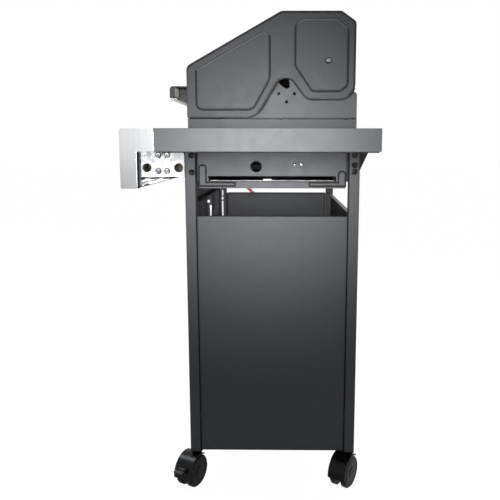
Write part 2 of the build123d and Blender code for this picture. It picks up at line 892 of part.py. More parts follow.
def lid_end():
    """Right-hand end of the lid: a plate with two raised fields and the hinge hole."""
    corners, radii = zip(*lid_outline())
    plate = side_plate(corners, radii, lid_inner_x, thick_sheet)
    for pad in lid_pads():
        plate += side_plate(*zip(*pad), lid_outer_x, emboss)
    hole_end_x = lid_outer_x + emboss + overshoot
    hole = rod((lid_inner_x - overshoot, hinge_y, hinge_z), (hole_end_x, hinge_y, hinge_z),
               hinge_bolt_radius + running_clearance)
    return plate - hole


def dial_plane():
    """Plane on the lid's slope, where the thermometer sits."""
    along = dial_along_slope * slope_length
    y = slope_start[0] + along * slope_up[0]
    z = slope_start[1] + along * slope_up[1]
    return Plane(origin=(0, y, z), x_dir=(1, 0, 0), z_dir=(0, -slope_up[1], slope_up[0]))


def on_dial(radius, low, high):
    """Round piece on the dial's axis, between two heights above the lid."""
    disc = Cylinder(radius, high - low, align=(Align.CENTER, Align.CENTER, Align.MIN))
    return dial_plane() * (Pos(0, 0, low) * disc)


def lid_skin():
    """Front, slope, top and short back of the lid in one bent sheet."""
    outline = lid_outline()[:5]
    line = [corner for corner, _ in outline] + [(lid_back_y, hinge_z)]
    radii = [radius for _, radius in outline[1:]]
    skin = bent_sheet(line, radii, sheet, -lid_inner_x, lid_inner_x)
    return skin - on_dial(dial_stem_radius + contact_gap, -dial_stem_length, dial_height)


def lid_handle_brackets():
    """End pieces of the lid's handle: blocks on the lid, hollowed from their outer ends."""
    low = lid_bottom_z + handle_rise
    high = low + handle_height
    tip = lid_front_y - handle_reach
    inner_x = handle_half_length - handle_bracket_width
    corners = [(lid_front_y, low), (tip, low), (tip, high), (lid_front_y, high)]
    bracket = side_plate(corners, [0, handle_heel_round, handle_round, 0], inner_x, handle_bracket_width)
    pocket_x = (handle_half_length - handle_pocket_depth, handle_half_length + overshoot)
    pocket_y = (tip + handle_tip_wall, lid_front_y - handle_wall)
    bracket -= span(pocket_x, pocket_y, (low + handle_wall, high - handle_wall))
    return group([bracket, mirrored(bracket)])


def lid_handle_bar():
    """Hollow bar between the brackets, over a flat sole that runs on under them."""
    half = handle_half_length - handle_bracket_width
    low = lid_bottom_z + handle_rise
    tip = lid_front_y - handle_reach + handle_bar_inset
    section = RectangleRounded(handle_bar_depth, handle_bar_height, handle_bar_corner)
    hollow_depth = handle_bar_depth - 2 * sheet
    hollow_height = handle_bar_height - 2 * sheet
    hollow = RectangleRounded(hollow_depth, hollow_height, handle_bar_corner - sheet)
    middle = Pos(tip + handle_bar_depth / 2, low + handle_bar_height / 2, 0)
    bar = Plane.YZ.offset(-half) * (middle * extrude(section - hollow, 2 * half))
    sole_x = (-handle_half_length, handle_half_length)
    return bar + span(sole_x, (tip, tip + handle_bar_depth), (low - handle_sole, low))


def thermometer():
    """Round case with a sunk dial, the needle's pin and a probe through the lid."""
    case = on_dial(dial_radius, 0, dial_height)
    case -= on_dial(dial_recess_radius, dial_height - dial_recess, dial_height + overshoot)
    floor = dial_height - dial_recess
    case += on_dial(needle_pin_radius, floor - sheet, floor + 2 * needle_lift + needle_thickness)
    return case + on_dial(dial_stem_radius, -dial_stem_length, sheet)


def thermometer_needle():
    low = dial_height - dial_recess + needle_lift
    high = low + needle_thickness
    half = needle_width / 2
    arm = Polygon((-half, 0), (half, 0), (0, needle_length), align=None)
    needle = on_dial(needle_hub_radius, low, high)
    needle += dial_plane() * (Pos(0, 0, low) * Rot(0, 0, needle_rest_deg) * extrude(arm, needle_thickness))
    return needle - on_dial(needle_pin_radius + running_clearance, low - overshoot, high + overshoot)


def hinge_bolts():
    """Bolt on each side: a nut inside the hinge plate and a round head outside the lid."""
    low_x = end_face_x - hinge_nut_height
    head_x = lid_outer_x + emboss + contact_gap
    bolts = []
    for sign in (1, -1):
        nut_end = (sign * end_face_x, hinge_y, hinge_z)
        bolt = hex_bar((sign * low_x, hinge_y, hinge_z), nut_end, hinge_nut_radius)
        bolt += rod((sign * low_x, hinge_y, hinge_z), (sign * head_x, hinge_y, hinge_z), hinge_bolt_radius)
        head = Plane(origin=(sign * head_x, hinge_y, hinge_z), z_dir=(sign, 0, 0))
        bolt += head * extrude(Circle(hinge_head_radius), hinge_head_height, taper=hinge_head_taper)
        bolts.append(bolt)
    return group(bolts)


# Shelves and control panel


def shelf():
    """Right-hand shelf: a flat top with skirts, open below."""
    z = (shelf_bottom_z, shelf_top_z)
    return pan((side_x, shelf_end_x), (shelf_front_y, shelf_rear_y), z, sheet, 2, -1)


def front_section(low_x, high_x, back_y):
    """Top flange, face and lower return of the steel front, between two X values."""
    line = [
        (back_y, shelf_top_z),
        (panel_y, shelf_top_z),
        (panel_y, panel_low_z),
        (panel_y + panel_return, panel_low_z),
    ]
    path = FilletPolyline(*line, radius=[panel_bend_radius, bend_radius])
    face = make_face(offset(path, panel_sheet, side=Side.LEFT))
    return Plane.YZ.offset(low_x) * extrude(face, high_x - low_x)


def shelf_fascia():
    """Steel front of the right-hand shelf, closed by an end flange with a folded lip."""
    flange_x = shelf_end_x - panel_sheet
    arm_y = panel_y + panel_arm_depth
    corners = [
        (panel_y, panel_low_z),
        (panel_y, shelf_top_z),
        (shelf_front_y, shelf_top_z),
        (shelf_front_y, shelf_bottom_z),
        (arm_y, shelf_bottom_z),
        (arm_y, panel_low_z),
    ]
    flange = side_plate(corners, [bend_radius, panel_bend_radius, 0, 0, 0, 0], flange_x, panel_sheet)
    lip_x = (shelf_end_x - panel_lip, shelf_end_x)
    lip = span(lip_x, (arm_y - panel_sheet, arm_y), (panel_low_z, shelf_bottom_z))
    return front_section(side_x, shelf_end_x, shelf_front_y) + flange + lip


def control_panel():
    """Steel front between the shelves: a hole for each stem, and a top that runs back to the firebox."""
    panel = front_section(-side_x, side_x, front_y)
    for x in burner_xs:
        hole_end = (x, panel_y + panel_bend_radius, stem_z)
        panel -= rod((x, panel_y - overshoot, stem_z), hole_end, stem_hole_radius)
    half_x = leg_inner_x - sheet - contact_gap
    top_z = (shelf_top_z - panel_sheet, shelf_top_z)
    return panel + span((-half_x, half_x), (front_y, -wall_y - contact_gap), top_z)


def panel_end_brackets():
    """Plate at each end of the control panel, with a flange on the leg and a hook under the gas pipe."""
    top = shelf_top_z - panel_sheet
    low = shelf_bottom_z - bracket_height
    face_y = panel_y + panel_sheet
    plate_y = (face_y + panel_bend_radius, front_y)
    plate = span((side_x - sheet, side_x), plate_y, (low, top - panel_bend_radius))
    plate += span((side_x - sheet, side_x), (face_y, front_y), (low, top - 2 * panel_bend_radius))
    plate += span((leg_inner_x, side_x), (front_y - sheet, front_y), (low, top - panel_bend_radius))
    hole_end = (side_x + overshoot, manifold_y, manifold_z)
    plate -= rod((side_x - sheet - overshoot, manifold_y, manifold_z), hole_end,
                 bracket_hole_radius)
    hook_x = (side_x - hook_inset, side_x - hook_inset + hook_width)
    hook_top = manifold_z - manifold_radius - contact_gap
    plate += span((hook_x[0], leg_inner_x), (front_y - sheet, front_y), (low, hook_top))
    plate += span(hook_x, (manifold_y - manifold_radius, front_y), (hook_top - sheet, hook_top))
    return group([plate, mirrored(plate)])


def shelf_brackets():
    """Triangular gusset under the rear of each shelf, with a flange on the leg and one on the skirt."""
    low_z = shelf_bottom_z - shelf_bracket_height
    far_x = side_x + shelf_bracket_length
    corners = [(side_x, low_z), (far_x, shelf_bottom_z), (side_x, shelf_bottom_z)]
    web = extrude(make_face(Polyline(*corners, close=True)), sheet)
    seat = Plane(origin=(0, rear_y, 0), x_dir=(1, 0, 0), z_dir=(0, -1, 0))
    bracket = seat * web
    bracket += span((side_x, side_x + sheet), (rear_y - shelf_bracket_lip, rear_y), (low_z, shelf_bottom_z))
    flange_y = (rear_y - shelf_bracket_flange, rear_y)
    bracket += span((side_x, far_x), flange_y, (shelf_bottom_z - sheet, shelf_bottom_z))
    return group([bracket, mirrored(bracket)])


# Gas line


def elbow_axis():
    """Direction in which the inlet elbow lets the hose out."""
    run = Vector(*hose_points[1]) - Vector(*hose_points[0])
    return run.normalized()


def gas_manifold():
    """Pipe across the front: a cap at its right end, a nut in the left bracket and the inlet elbow."""
    right_end = side_x - manifold_end_gap
    pipe = rod((elbow_x, manifold_y, manifold_z), (right_end, manifold_y, manifold_z), manifold_radius)
    for low_x in (right_end, sheet - side_x):
        pipe += hex_bar((low_x, manifold_y, manifold_z), (low_x + manifold_nut_width, manifold_y, manifold_z),
                        manifold_nut_radius)
    mouth = Vector(*hose_points[0])
    heel = mouth - elbow_axis() * (elbow_length + elbow_radius)
    return pipe + rod(tuple(heel), tuple(mouth), elbow_radius)


def gas_valves():
    """Valve behind each knob: block body, foot on the pipe and a jet into the burner."""
    valves = []
    half = valve_width / 2
    for x in burner_xs:
        body = span((x - half, x + half), (valve_front_y, valve_rear_y), (stem_z - half, stem_z + half))
        foot_x = (x - valve_foot_width / 2, x + valve_foot_width / 2)
        foot_y = (manifold_y - valve_foot_width / 2, valve_rear_y)
        body += span(foot_x, foot_y, (manifold_z + manifold_radius + contact_gap, stem_z))
        nozzle_end = valve_rear_y + valve_nozzle_length
        body += hex_bar((x, valve_rear_y, stem_z), (x, nozzle_end, stem_z), valve_nozzle_radius)
        bore_end = valve_front_y + stem_depth + push_travel + contact_gap
        bore_start = (x, valve_front_y - overshoot, stem_z)
        body -= rod(bore_start, (x, bore_end, stem_z), stem_radius + running_clearance)
        valves.append(body)
    return group(valves)


def valve_stem(x):
    """Round stem that the knob is pushed on."""
    front = knob_back_y - knob_bore_depth + contact_gap
    return rod((x, front, stem_z), (x, valve_front_y + stem_depth, stem_z), stem_radius)


def knob(x):
    """Round skirt with a grip across it, bored for the stem."""
    skirt_front = knob_back_y - knob_skirt_depth
    body = rod((x, knob_back_y, stem_z), (x, skirt_front, stem_z), knob_skirt_radius)
    seat = Plane(origin=(x, skirt_front, stem_z), x_dir=(0, 0, 1), z_dir=(0, -1, 0))
    grip = Rectangle(knob_grip_length, knob_grip_width)
    body += seat * extrude(grip, knob_grip_depth, taper=knob_grip_taper)
    bore_end = knob_back_y - knob_bore_depth
    bore_start = (x, knob_back_y + overshoot, stem_z)
    return body - rod(bore_start, (x, bore_end, stem_z), stem_radius + running_clearance)


def hose_radii():
    """Arc at each corner of the hose, as large as its two runs allow."""
    points = [Vector(*p) for p in hose_points]
    radii = []
    for before, here, after in zip(points, points[1:], points[2:]):
        turn = (here - before).get_angle(after - here)
        run = min((here - before).length, (after - here).length)
        radii.append(hose_corner_share * run / math.tan(math.radians(turn / 2)))
    return radii


def gas_hose():
    radii = hose_radii()
    path = FilletPolyline(*hose_points, radius=radii)
    start = Plane(origin=hose_points[0], z_dir=elbow_axis())
    tube = sweep(start * Circle(hose_diameter / 2), path=path)
    expected = math.pi * hose_diameter ** 2 / 4 * path.length
    print(f"hose length {path.length:.0f}, volume share {tube.volume / expected:.4f}")
    print("hose radii", [round(r) for r in radii])
    return tube


def regulator():
    """Tail in the hose, round body with a cap and the cylinder nut below."""
    x, y, z = hose_points[-1]
    body_z = z - regulator_tail_length - regulator_radius
    half = regulator_thickness / 2
    body = rod((x - half, y, body_z), (x + half, y, body_z), regulator_radius)
    body += rod((x - half - regulator_cap_height, y, body_z), (x, y, body_z), regulator_cap_radius)
    body += rod((x, y, z), (x, y, body_z), regulator_tail_radius)
    nut_low = body_z - regulator_radius - regulator_nut_length
    return body + hex_bar((x, y, nut_low), (x, y, body_z), regulator_nut_radius)


# Casters


def caster_seats():
    """Corner signs of the four casters by name."""
    return {"front_right": (1, -1), "front_left": (-1, -1), "rear_right": (1, 1), "rear_left": (-1, 1)}


def caster_turn(y_sign):
    """Angle at which a front or rear caster has come to rest."""
    return math.radians(front_caster_angle if y_sign < 0 else rear_caster_angle)


def caster_plane(x_sign, y_sign):
    """Plane on the floor under the swivel pin: its X axis points to the wheels' side."""
    origin = (x_sign * swivel_x, y_sign * swivel_y, 0)
    turn = caster_turn(y_sign)
    along = (math.cos(turn), math.sin(turn), 0)
    return Plane(origin=origin, x_dir=along, z_dir=(0, 0, 1))


def caster_plates():
    """Plate under each corner, which the leg stands on, with the swivel pin."""
    plates = []
    for x_sign, y_sign in caster_seats().values():
        outer_x = x_sign * side_x
        outer_y = y_sign * rear_y
        x = sorted((outer_x, outer_x - x_sign * caster_plate_length))
        y = sorted((outer_y, outer_y - y_sign * caster_plate_width))
        plate = span(x, y, (caster_plate_z, leg_bottom_z))
        pin_x, pin_y = x_sign * swivel_x, y_sign * swivel_y
        plate += rod((pin_x, pin_y, caster_plate_z - swivel_pin_length), (pin_x, pin_y, caster_plate_z),
                     swivel_pin_radius)
        plates.append(plate)
    return group(plates)


def across(plane, face, half_width):
    """Face in the caster's own side view, given a width on both sides of its middle."""
    return plane * (Plane.XZ * extrude(face, half_width, both=True))


def wedge(radius):
    """Fan between the fender's two ends, drawn from the axle."""
    middle = (fender_start_deg + fender_end_deg) / 2
    points = [(0, 0)]
    for angle in (fender_start_deg, middle, fender_end_deg):
        turn = math.radians(angle)
        points.append((radius * math.cos(turn), radius * math.sin(turn)))
    return make_face(Polyline(*points, close=True))


def lever_pivot():
    """Place of the brake lever's pin, outside the fender."""
    reach = wheel_radius + fender_gap + fender_thickness + lever_offset
    turn = math.radians(lever_angle_deg)
    return caster_trail + reach * math.cos(turn), wheel_radius + reach * math.sin(turn)


def caster_hood(x_sign, y_sign, with_lever):
    """Web between the wheels, fender over them and the neck that turns on the pin."""
    plane = caster_plane(x_sign, y_sign)
    axle = Pos(caster_trail, wheel_radius)
    inner = wheel_radius + fender_gap
    outer = inner + fender_thickness
    fan = wedge(2 * wheel_diameter)
    fender = (Circle(outer) - Circle(inner)) & fan
    web = (Circle(inner + fender_overlap) & fan) + Circle(web_hub_radius)
    half = wheel_gap / 2 + wheel_width
    hood = across(plane, axle * fender, half) + across(plane, axle * web, web_width / 2)
    neck_top = caster_plate_z - contact_gap
    downward = (Align.CENTER, Align.CENTER, Align.MAX)
    neck = Cylinder(hood_neck_radius, hood_neck_height, align=downward)
    hood += plane * (Pos(0, 0, neck_top) * neck)
    if with_lever:
        hood += lever_lugs(plane)
    hood -= across(plane, axle * Circle(axle_radius + running_clearance), half)
    pin_depth = swivel_pin_length + contact_gap
    bore = Cylinder(swivel_pin_radius + running_clearance, pin_depth, align=downward)
    return hood - plane * (Pos(0, 0, caster_plate_z) * bore)


def lever_lugs(plane):
    """Two ears on the fender that hold the brake lever's pin."""
    u, z = lever_pivot()
    turn = math.radians(lever_angle_deg)
    along = Vector(math.cos(turn), math.sin(turn))
    side = Vector(-math.sin(turn), math.cos(turn)) * lug_radius
    pin = Vector(u, z)
    root = pin - along * (lever_offset + fender_overlap)
    tip = pin + along * (lug_radius - lug_gap)
    corners = [root - side, pin - side, tip - side / 2, tip + side / 2, pin + side, root + side]
    ear = make_face(Polyline(*corners, close=True))
    ear -= Pos(u, z) * Circle(lever_pin_radius + running_clearance)
    both = None
    middle = lever_half_width + lug_gap + lug_thickness / 2
    for sign in (-1, 1):
        lug = plane * (Pos(0, sign * middle, 0) * (Plane.XZ * extrude(ear, lug_thickness / 2, both=True)))
        both = lug if both is None else both + lug
    return both


def brake_lever(x_sign, y_sign):
    """Short pedal on a pin at the back of the hood."""
    plane = caster_plane(x_sign, y_sign)
    u, z = lever_pivot()
    half_pin = lever_half_width + lug_gap + lug_thickness
    lever = across(plane, Pos(u, z) * Rectangle(lever_hub, lever_hub), lever_half_width)
    lever += across(plane, Pos(u, z) * Circle(lever_pin_radius), half_pin)
    far = u + lug_radius + lug_gap + lever_pad_length
    pad_z = (z - lever_pad_thickness / 2, z + lever_pad_thickness / 2)
    lever += plane * span((u, far), (-lever_half_width, lever_half_width), pad_z)
    wide = (far - lever_pad_length, far)
    return lever + plane * span(wide, (-lever_pad_half_width, lever_pad_half_width), pad_z)


def caster_wheels(x_sign, y_sign):
    """Two plain wheels on one axle, turned as a single profile."""
    inner = wheel_gap / 2
    outer = inner + wheel_width
    half = Polyline(
        (axle_radius, 0),
        (axle_radius, inner),
        (wheel_radius, inner),
        (wheel_radius, outer - wheel_chamfer),
        (wheel_radius - wheel_chamfer, outer),
        (0, outer),
    )
    profile = make_face(half + mirror(half, about=Plane.XZ) + Line((0, -outer), (0, outer)))
    pair = revolve(profile, Axis.Y)
    axle = Pos(caster_trail, 0, wheel_radius)
    return caster_plane(x_sign, y_sign) * (axle * pair)


# Fasteners


def screw(x, y, z):
    """Low tapered head on a face that looks to the right."""
    head = extrude(RegularPolygon(screw_radius, screw_sides), screw_height, taper=screw_taper)
    return Plane(origin=(x, y, z), z_dir=(1, 0, 0)) * head


def cart_screws():
    """Screw heads on the outer faces of the legs and of the control panel's end brackets."""
    places = [(front_y + front_leg_screw_inset, drop) for drop in front_leg_screw_drops]
    places += [(rear_y - rear_leg_screw_inset, drop) for drop in rear_leg_screw_drops]
    places += [(front_y - bracket_screw_inset, drop) for drop in bracket_screw_drops]
    heads = [screw(side_x, y, shelf_top_z - drop) for y, drop in places]
    return group(heads + [mirrored(head) for head in heads])


# All pieces by name


def cart_pieces():
    seats = caster_seats()
    pieces = {f"leg_{name}": leg(*signs) for name, signs in seats.items()}
    panel = side_panel()
    right_shelf = shelf()
    fascia = shelf_fascia()
    pieces["side_panels"] = group([panel, mirrored(panel)])
    pieces["back_panel"] = back_panel()
    pieces["bottom_shelf"] = bottom_shelf()
    pieces["front_rail"] = front_rail()
    pieces["shelf_right"] = right_shelf
    pieces["shelf_left"] = mirrored(right_shelf)
    pieces["shelf_fascia_right"] = fascia
    pieces["shelf_fascia_left"] = mirrored(fascia)
    pieces["shelf_brackets"] = shelf_brackets()
    pieces["control_panel"] = control_panel()
    pieces["panel_end_brackets"] = panel_end_brackets()
    pieces["cart_screws"] = cart_screws()
    return pieces


def firebox_pieces():
    plate = hinge_plate()
    grate = cooking_grate()
    return {
        "firebox_shell": firebox_shell(),
        "firebox_end_right": firebox_end(True),
        "firebox_end_left": mirrored(firebox_end(False)),
        "hinge_plates": group([plate, mirrored(plate)]),
        "hinge_bolts": hinge_bolts(),
        "burner_tubes": burner_tubes(),
        "flame_tamers": flame_tamers(),
        "cooking_grates": group([grate, mirrored(grate)]),
        "warming_rack": warming_rack(),
        "grease_tray": grease_tray(),
    }


def lid_pieces():
    end = lid_end()
    return {
        "lid_skin": lid_skin(),
        "lid_ends": group([end, mirrored(end)]),
        "lid_handle_bar": lid_handle_bar(),
        "lid_handle_brackets": lid_handle_brackets(),
        "thermometer": thermometer(),
        "thermometer_needle": thermometer_needle(),
    }


def door_pieces():
    right_door = door()
    handle = door_handle()
    return {
        "door_right": right_door,
        "door_left": mirrored(right_door),
        "door_handle_right": handle,
        "door_handle_left": mirrored(handle),
        "door_hinge_pins": door_hinge_pins(),
    }


def gas_pieces():
    pieces = {
        "gas_manifold": gas_manifold(),
        "gas_valves": gas_valves(),
        "gas_hose": gas_hose(),
        "regulator": regulator(),
    }
    for number, x in enumerate(burner_xs, start=1):
        pieces[f"valve_stem_{number}"] = valve_stem(x)
        pieces[f"knob_{number}"] = knob(x)
    return pieces


def caster_pieces():
    pieces = {"caster_plates": caster_plates()}
    for name, signs in caster_seats().items():
        braked = name.startswith("front")
        pieces[f"caster_hood_{name}"] = caster_hood(*signs, braked)
        pieces[f"caster_wheels_{name}"] = caster_wheels(*signs)
        if braked:
            pieces[f"brake_lever_{name}"] = brake_lever(*signs)
    return pieces


def main():
    os.makedirs("parts", exist_ok=True)
    pieces = cart_pieces() | firebox_pieces() | lid_pieces()
    pieces |= door_pieces() | gas_pieces() | caster_pieces()
    for name, shape in pieces.items():
        export_step(shape.moved(Location((0, origin_shift, 0))), f"parts/{name}.step")
    print(len(pieces), "pieces")


if __name__ == "__main__":
    main()
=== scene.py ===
"""Looks of the gas barbecue grill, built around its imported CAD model, in metres and degrees."""

import math

import bmesh
import bpy
from mathutils import Euler, Matrix, Vector


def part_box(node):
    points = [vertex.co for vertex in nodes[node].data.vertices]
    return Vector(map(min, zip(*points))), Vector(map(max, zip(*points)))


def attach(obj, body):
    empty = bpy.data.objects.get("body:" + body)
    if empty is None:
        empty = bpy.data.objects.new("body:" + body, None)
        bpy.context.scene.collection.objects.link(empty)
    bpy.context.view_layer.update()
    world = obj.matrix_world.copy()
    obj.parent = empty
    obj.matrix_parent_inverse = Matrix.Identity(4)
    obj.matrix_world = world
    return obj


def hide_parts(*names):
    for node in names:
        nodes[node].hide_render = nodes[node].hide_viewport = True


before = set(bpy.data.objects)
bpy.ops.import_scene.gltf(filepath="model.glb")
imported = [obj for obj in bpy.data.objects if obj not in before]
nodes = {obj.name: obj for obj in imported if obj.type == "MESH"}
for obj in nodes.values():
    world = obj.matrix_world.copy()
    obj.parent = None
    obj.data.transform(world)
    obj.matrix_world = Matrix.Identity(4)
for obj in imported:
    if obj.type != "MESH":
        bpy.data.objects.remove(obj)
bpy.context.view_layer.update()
scene = bpy.context.scene

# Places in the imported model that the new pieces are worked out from; CART_Y is halfway between the legs
SIDES = (1, -1)
SIDE_NAMES = {1: "right", -1: "left"}
CART_Y = (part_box("leg_rear_right")[1][1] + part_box("leg_front_right")[0][1]) / 2
SIDE_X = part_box("leg_front_right")[1][0]
END_FACE_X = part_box("side_panels")[1][0]
SHELF_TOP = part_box("shelf_right")[1][2]
PANEL_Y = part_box("control_panel")[0][1]


# Material helpers


# Noise seldom leaves this range
NOISE_LOW = 0.3
NOISE_HIGH = 0.7

# Changes of roughness over a surface, and over stained metal
ROUGHER = 0.08
SMOOTHER = 0.06
STAIN_ROUGHER = 0.12
STAIN_SMOOTHER = 0.04

WHITE = (1, 1, 1)


def node(tree, kind, **values):
    """New shader node with some of its settings."""
    made = tree.nodes.new(kind)
    for name, value in values.items():
        setattr(made, name, value)
    return made


def new_material(name, colour, roughness, metallic=0.0, specular=0.5):
    """Material, its node tree and its shader."""
    material = bpy.data.materials.new(name)
    material.use_nodes = True
    tree = material.node_tree
    shader = tree.nodes["Principled BSDF"]
    shader.inputs["Base Color"].default_value = (*colour, 1)
    shader.inputs["Roughness"].default_value = roughness
    shader.inputs["Metallic"].default_value = metallic
    shader.inputs["Specular IOR Level"].default_value = specular
    return material, tree, shader


def noise(tree, scale, detail=2.0, stretch=(1, 1, 1)):
    """Noise over the object's own coordinates, in cells per metre."""
    place = node(tree, "ShaderNodeTexCoord")
    mapping = node(tree, "ShaderNodeMapping")
    mapping.inputs["Scale"].default_value = stretch
    texture = node(tree, "ShaderNodeTexNoise")
    texture.inputs["Scale"].default_value = scale
    texture.inputs["Detail"].default_value = detail
    tree.links.new(place.outputs["Object"], mapping.inputs["Vector"])
    tree.links.new(mapping.outputs["Vector"], texture.inputs["Vector"])
    return texture.outputs["Fac"]


def cells(tree, scale):
    """Random grey for each cell of a broken pattern."""
    place = node(tree, "ShaderNodeTexCoord")
    texture = node(tree, "ShaderNodeTexVoronoi")
    texture.inputs["Scale"].default_value = scale
    tree.links.new(place.outputs["Object"], texture.inputs["Vector"])
    split = node(tree, "ShaderNodeSeparateColor")
    tree.links.new(texture.outputs["Color"], split.inputs["Color"])
    return split.outputs["Red"]


def ramp(tree, fac, low, high, low_at=NOISE_LOW, high_at=NOISE_HIGH):
    """Colours between two places of a grey value."""
    made = node(tree, "ShaderNodeValToRGB")
    made.color_ramp.elements[0].position = low_at
    made.color_ramp.elements[0].color = (*low, 1)
    made.color_ramp.elements[1].position = high_at
    made.color_ramp.elements[1].color = (*high, 1)
    tree.links.new(fac, made.inputs["Fac"])
    return made.outputs["Color"]


def vary_colour(tree, shader, fac, dark, light):
    """Base colour that follows a grey value."""
    tree.links.new(ramp(tree, fac, dark, light), shader.inputs["Base Color"])


def vary_roughness(tree, shader, fac, low, high):
    """Roughness that follows a grey value."""
    made = node(tree, "ShaderNodeMapRange")
    made.inputs["From Min"].default_value = NOISE_LOW
    made.inputs["From Max"].default_value = NOISE_HIGH
    made.inputs["To Min"].default_value = low
    made.inputs["To Max"].default_value = high
    tree.links.new(fac, made.inputs["Value"])
    tree.links.new(made.outputs["Result"], shader.inputs["Roughness"])


def relief(tree, shader, height, depth, edge):
    """Bump of a depth in metres, over edges rounded by a small radius."""
    bump = node(tree, "ShaderNodeBump")
    bump.inputs["Strength"].default_value = 1.0
    bump.inputs["Distance"].default_value = depth
    tree.links.new(height, bump.inputs["Height"])
    rounded = node(tree, "ShaderNodeBevel", samples=4)
    rounded.inputs["Radius"].default_value = edge
    tree.links.new(rounded.outputs["Normal"], bump.inputs["Normal"])
    tree.links.new(bump.outputs["Normal"], shader.inputs["Normal"])


def powder_coat(name, dark, light, roughness, specular, edge):
    """Baked powder paint: a fine orange peel, with changes of tone and gloss, and painted shade that darkens
    its corners and creases.
    """
    material, tree, shader = new_material(name, light, roughness, specular=specular)
    tone = ramp(tree, noise(tree, scale=420.0, detail=3.0), dark, light)
    # Painted shade: ambient occlusion darkens the colour in corners, creases and seams, where shade falls
    corner_shade_reach = 0.006
    corner_shade_colour = (0.12, 0.12, 0.12)
    corner_shade = node(tree, "ShaderNodeAmbientOcclusion", samples=8)
    corner_shade.inputs["Distance"].default_value = corner_shade_reach
    shade = ramp(tree, corner_shade.outputs["AO"], corner_shade_colour, WHITE, low_at=0.45, high_at=0.95)
    both = node(tree, "ShaderNodeMix", data_type="RGBA", blend_type="MULTIPLY")
    both.inputs["Factor"].default_value = 1.0
    tree.links.new(tone, both.inputs["A"])
    tree.links.new(shade, both.inputs["B"])
    tree.links.new(both.outputs["Result"], shader.inputs["Base Color"])
    gloss_change = 0.05
    gloss = noise(tree, scale=40.0, detail=4.0)
    vary_roughness(tree, shader, gloss, roughness - gloss_change, roughness + gloss_change)
    relief(tree, shader, noise(tree, scale=700.0), depth=0.00006, edge=edge)
    return material


def brushed(name, dark, light, roughness, stretch):
    """Metal with fine grinding lines across the stretched axis."""
    material, tree, shader = new_material(name, light, roughness, metallic=1.0)
    lines = noise(tree, scale=1.0, detail=6.0, stretch=stretch)
    vary_colour(tree, shader, lines, dark, light)
    vary_roughness(tree, shader, lines, roughness + ROUGHER, roughness - SMOOTHER)
    relief(tree, shader, lines, depth=0.00003, edge=0.0008)
    return material


def polished(name, dark, light, fine, coarse):
    """Bright steel, finer on its long faces than on the ends that look along X."""
    material, tree, shader = new_material(name, light, fine, metallic=1.0)
    lines = noise(tree, scale=1.0, detail=6.0, stretch=(900, 900, 3))
    vary_colour(tree, shader, lines, dark, light)
    place = node(tree, "ShaderNodeTexCoord")
    parts = node(tree, "ShaderNodeSeparateXYZ")
    tree.links.new(place.outputs["Normal"], parts.inputs["Vector"])
    along_x = node(tree, "ShaderNodeMath", operation="ABSOLUTE")
    tree.links.new(parts.outputs["X"], along_x.inputs[0])
    vary_roughness(tree, shader, along_x.outputs["Value"], fine, coarse)
    relief(tree, shader, lines, depth=0.000006, edge=0.0008)
    return material


def zinc(name, dark, light, roughness):
    """Zinc coat with spangles of unlike brightness."""
    material, tree, shader = new_material(name, light, roughness, metallic=1.0)
    spangle = cells(tree, scale=140.0)
    spread = ramp(tree, spangle, dark, light, low_at=0.0, high_at=1.0)
    tree.links.new(spread, shader.inputs["Base Color"])
    vary_roughness(tree, shader, spangle, roughness - SMOOTHER, roughness + ROUGHER)
    relief(tree, shader, noise(tree, scale=300.0, detail=3.0), depth=0.00003, edge=0.0006)
    return material


def metal(name, dark, light, roughness, stains):
    """Plain metal with faint stains, in cells per metre."""
    material, tree, shader = new_material(name, light, roughness, metallic=1.0)
    stain = noise(tree, stains, detail=5.0)
    vary_colour(tree, shader, stain, dark, light)
    vary_roughness(tree, shader, stain, roughness + STAIN_ROUGHER, roughness - STAIN_SMOOTHER)
    relief(tree, shader, noise(tree, scale=900.0), depth=0.00002, edge=0.0005)
    return material


def moulded(name, dark, light, roughness, grain, depth, specular=0.5):
    """Plastic, rubber or enamel with a moulded grain, in cells per metre, and worn patches."""
    material, tree, shader = new_material(name, light, roughness, specular=specular)
    vary_colour(tree, shader, noise(tree, scale=30.0, detail=5.0), dark, light)
    wear = noise(tree, scale=90.0, detail=4.0)
    vary_roughness(tree, shader, wear, roughness - SMOOTHER, roughness + ROUGHER)
    relief(tree, shader, noise(tree, grain, detail=3.0), depth, edge=0.0008)
    return material


def glass(name, colour, ior):
    """Clear glass with faint smears."""
    material, tree, shader = new_material(name, colour, roughness=0.03)
    shader.inputs["Transmission Weight"].default_value = 1.0
    shader.inputs["IOR"].default_value = ior
    vary_roughness(tree, shader, noise(tree, scale=60.0, detail=4.0), low=0.02, high=0.08)
    return material


# Materials


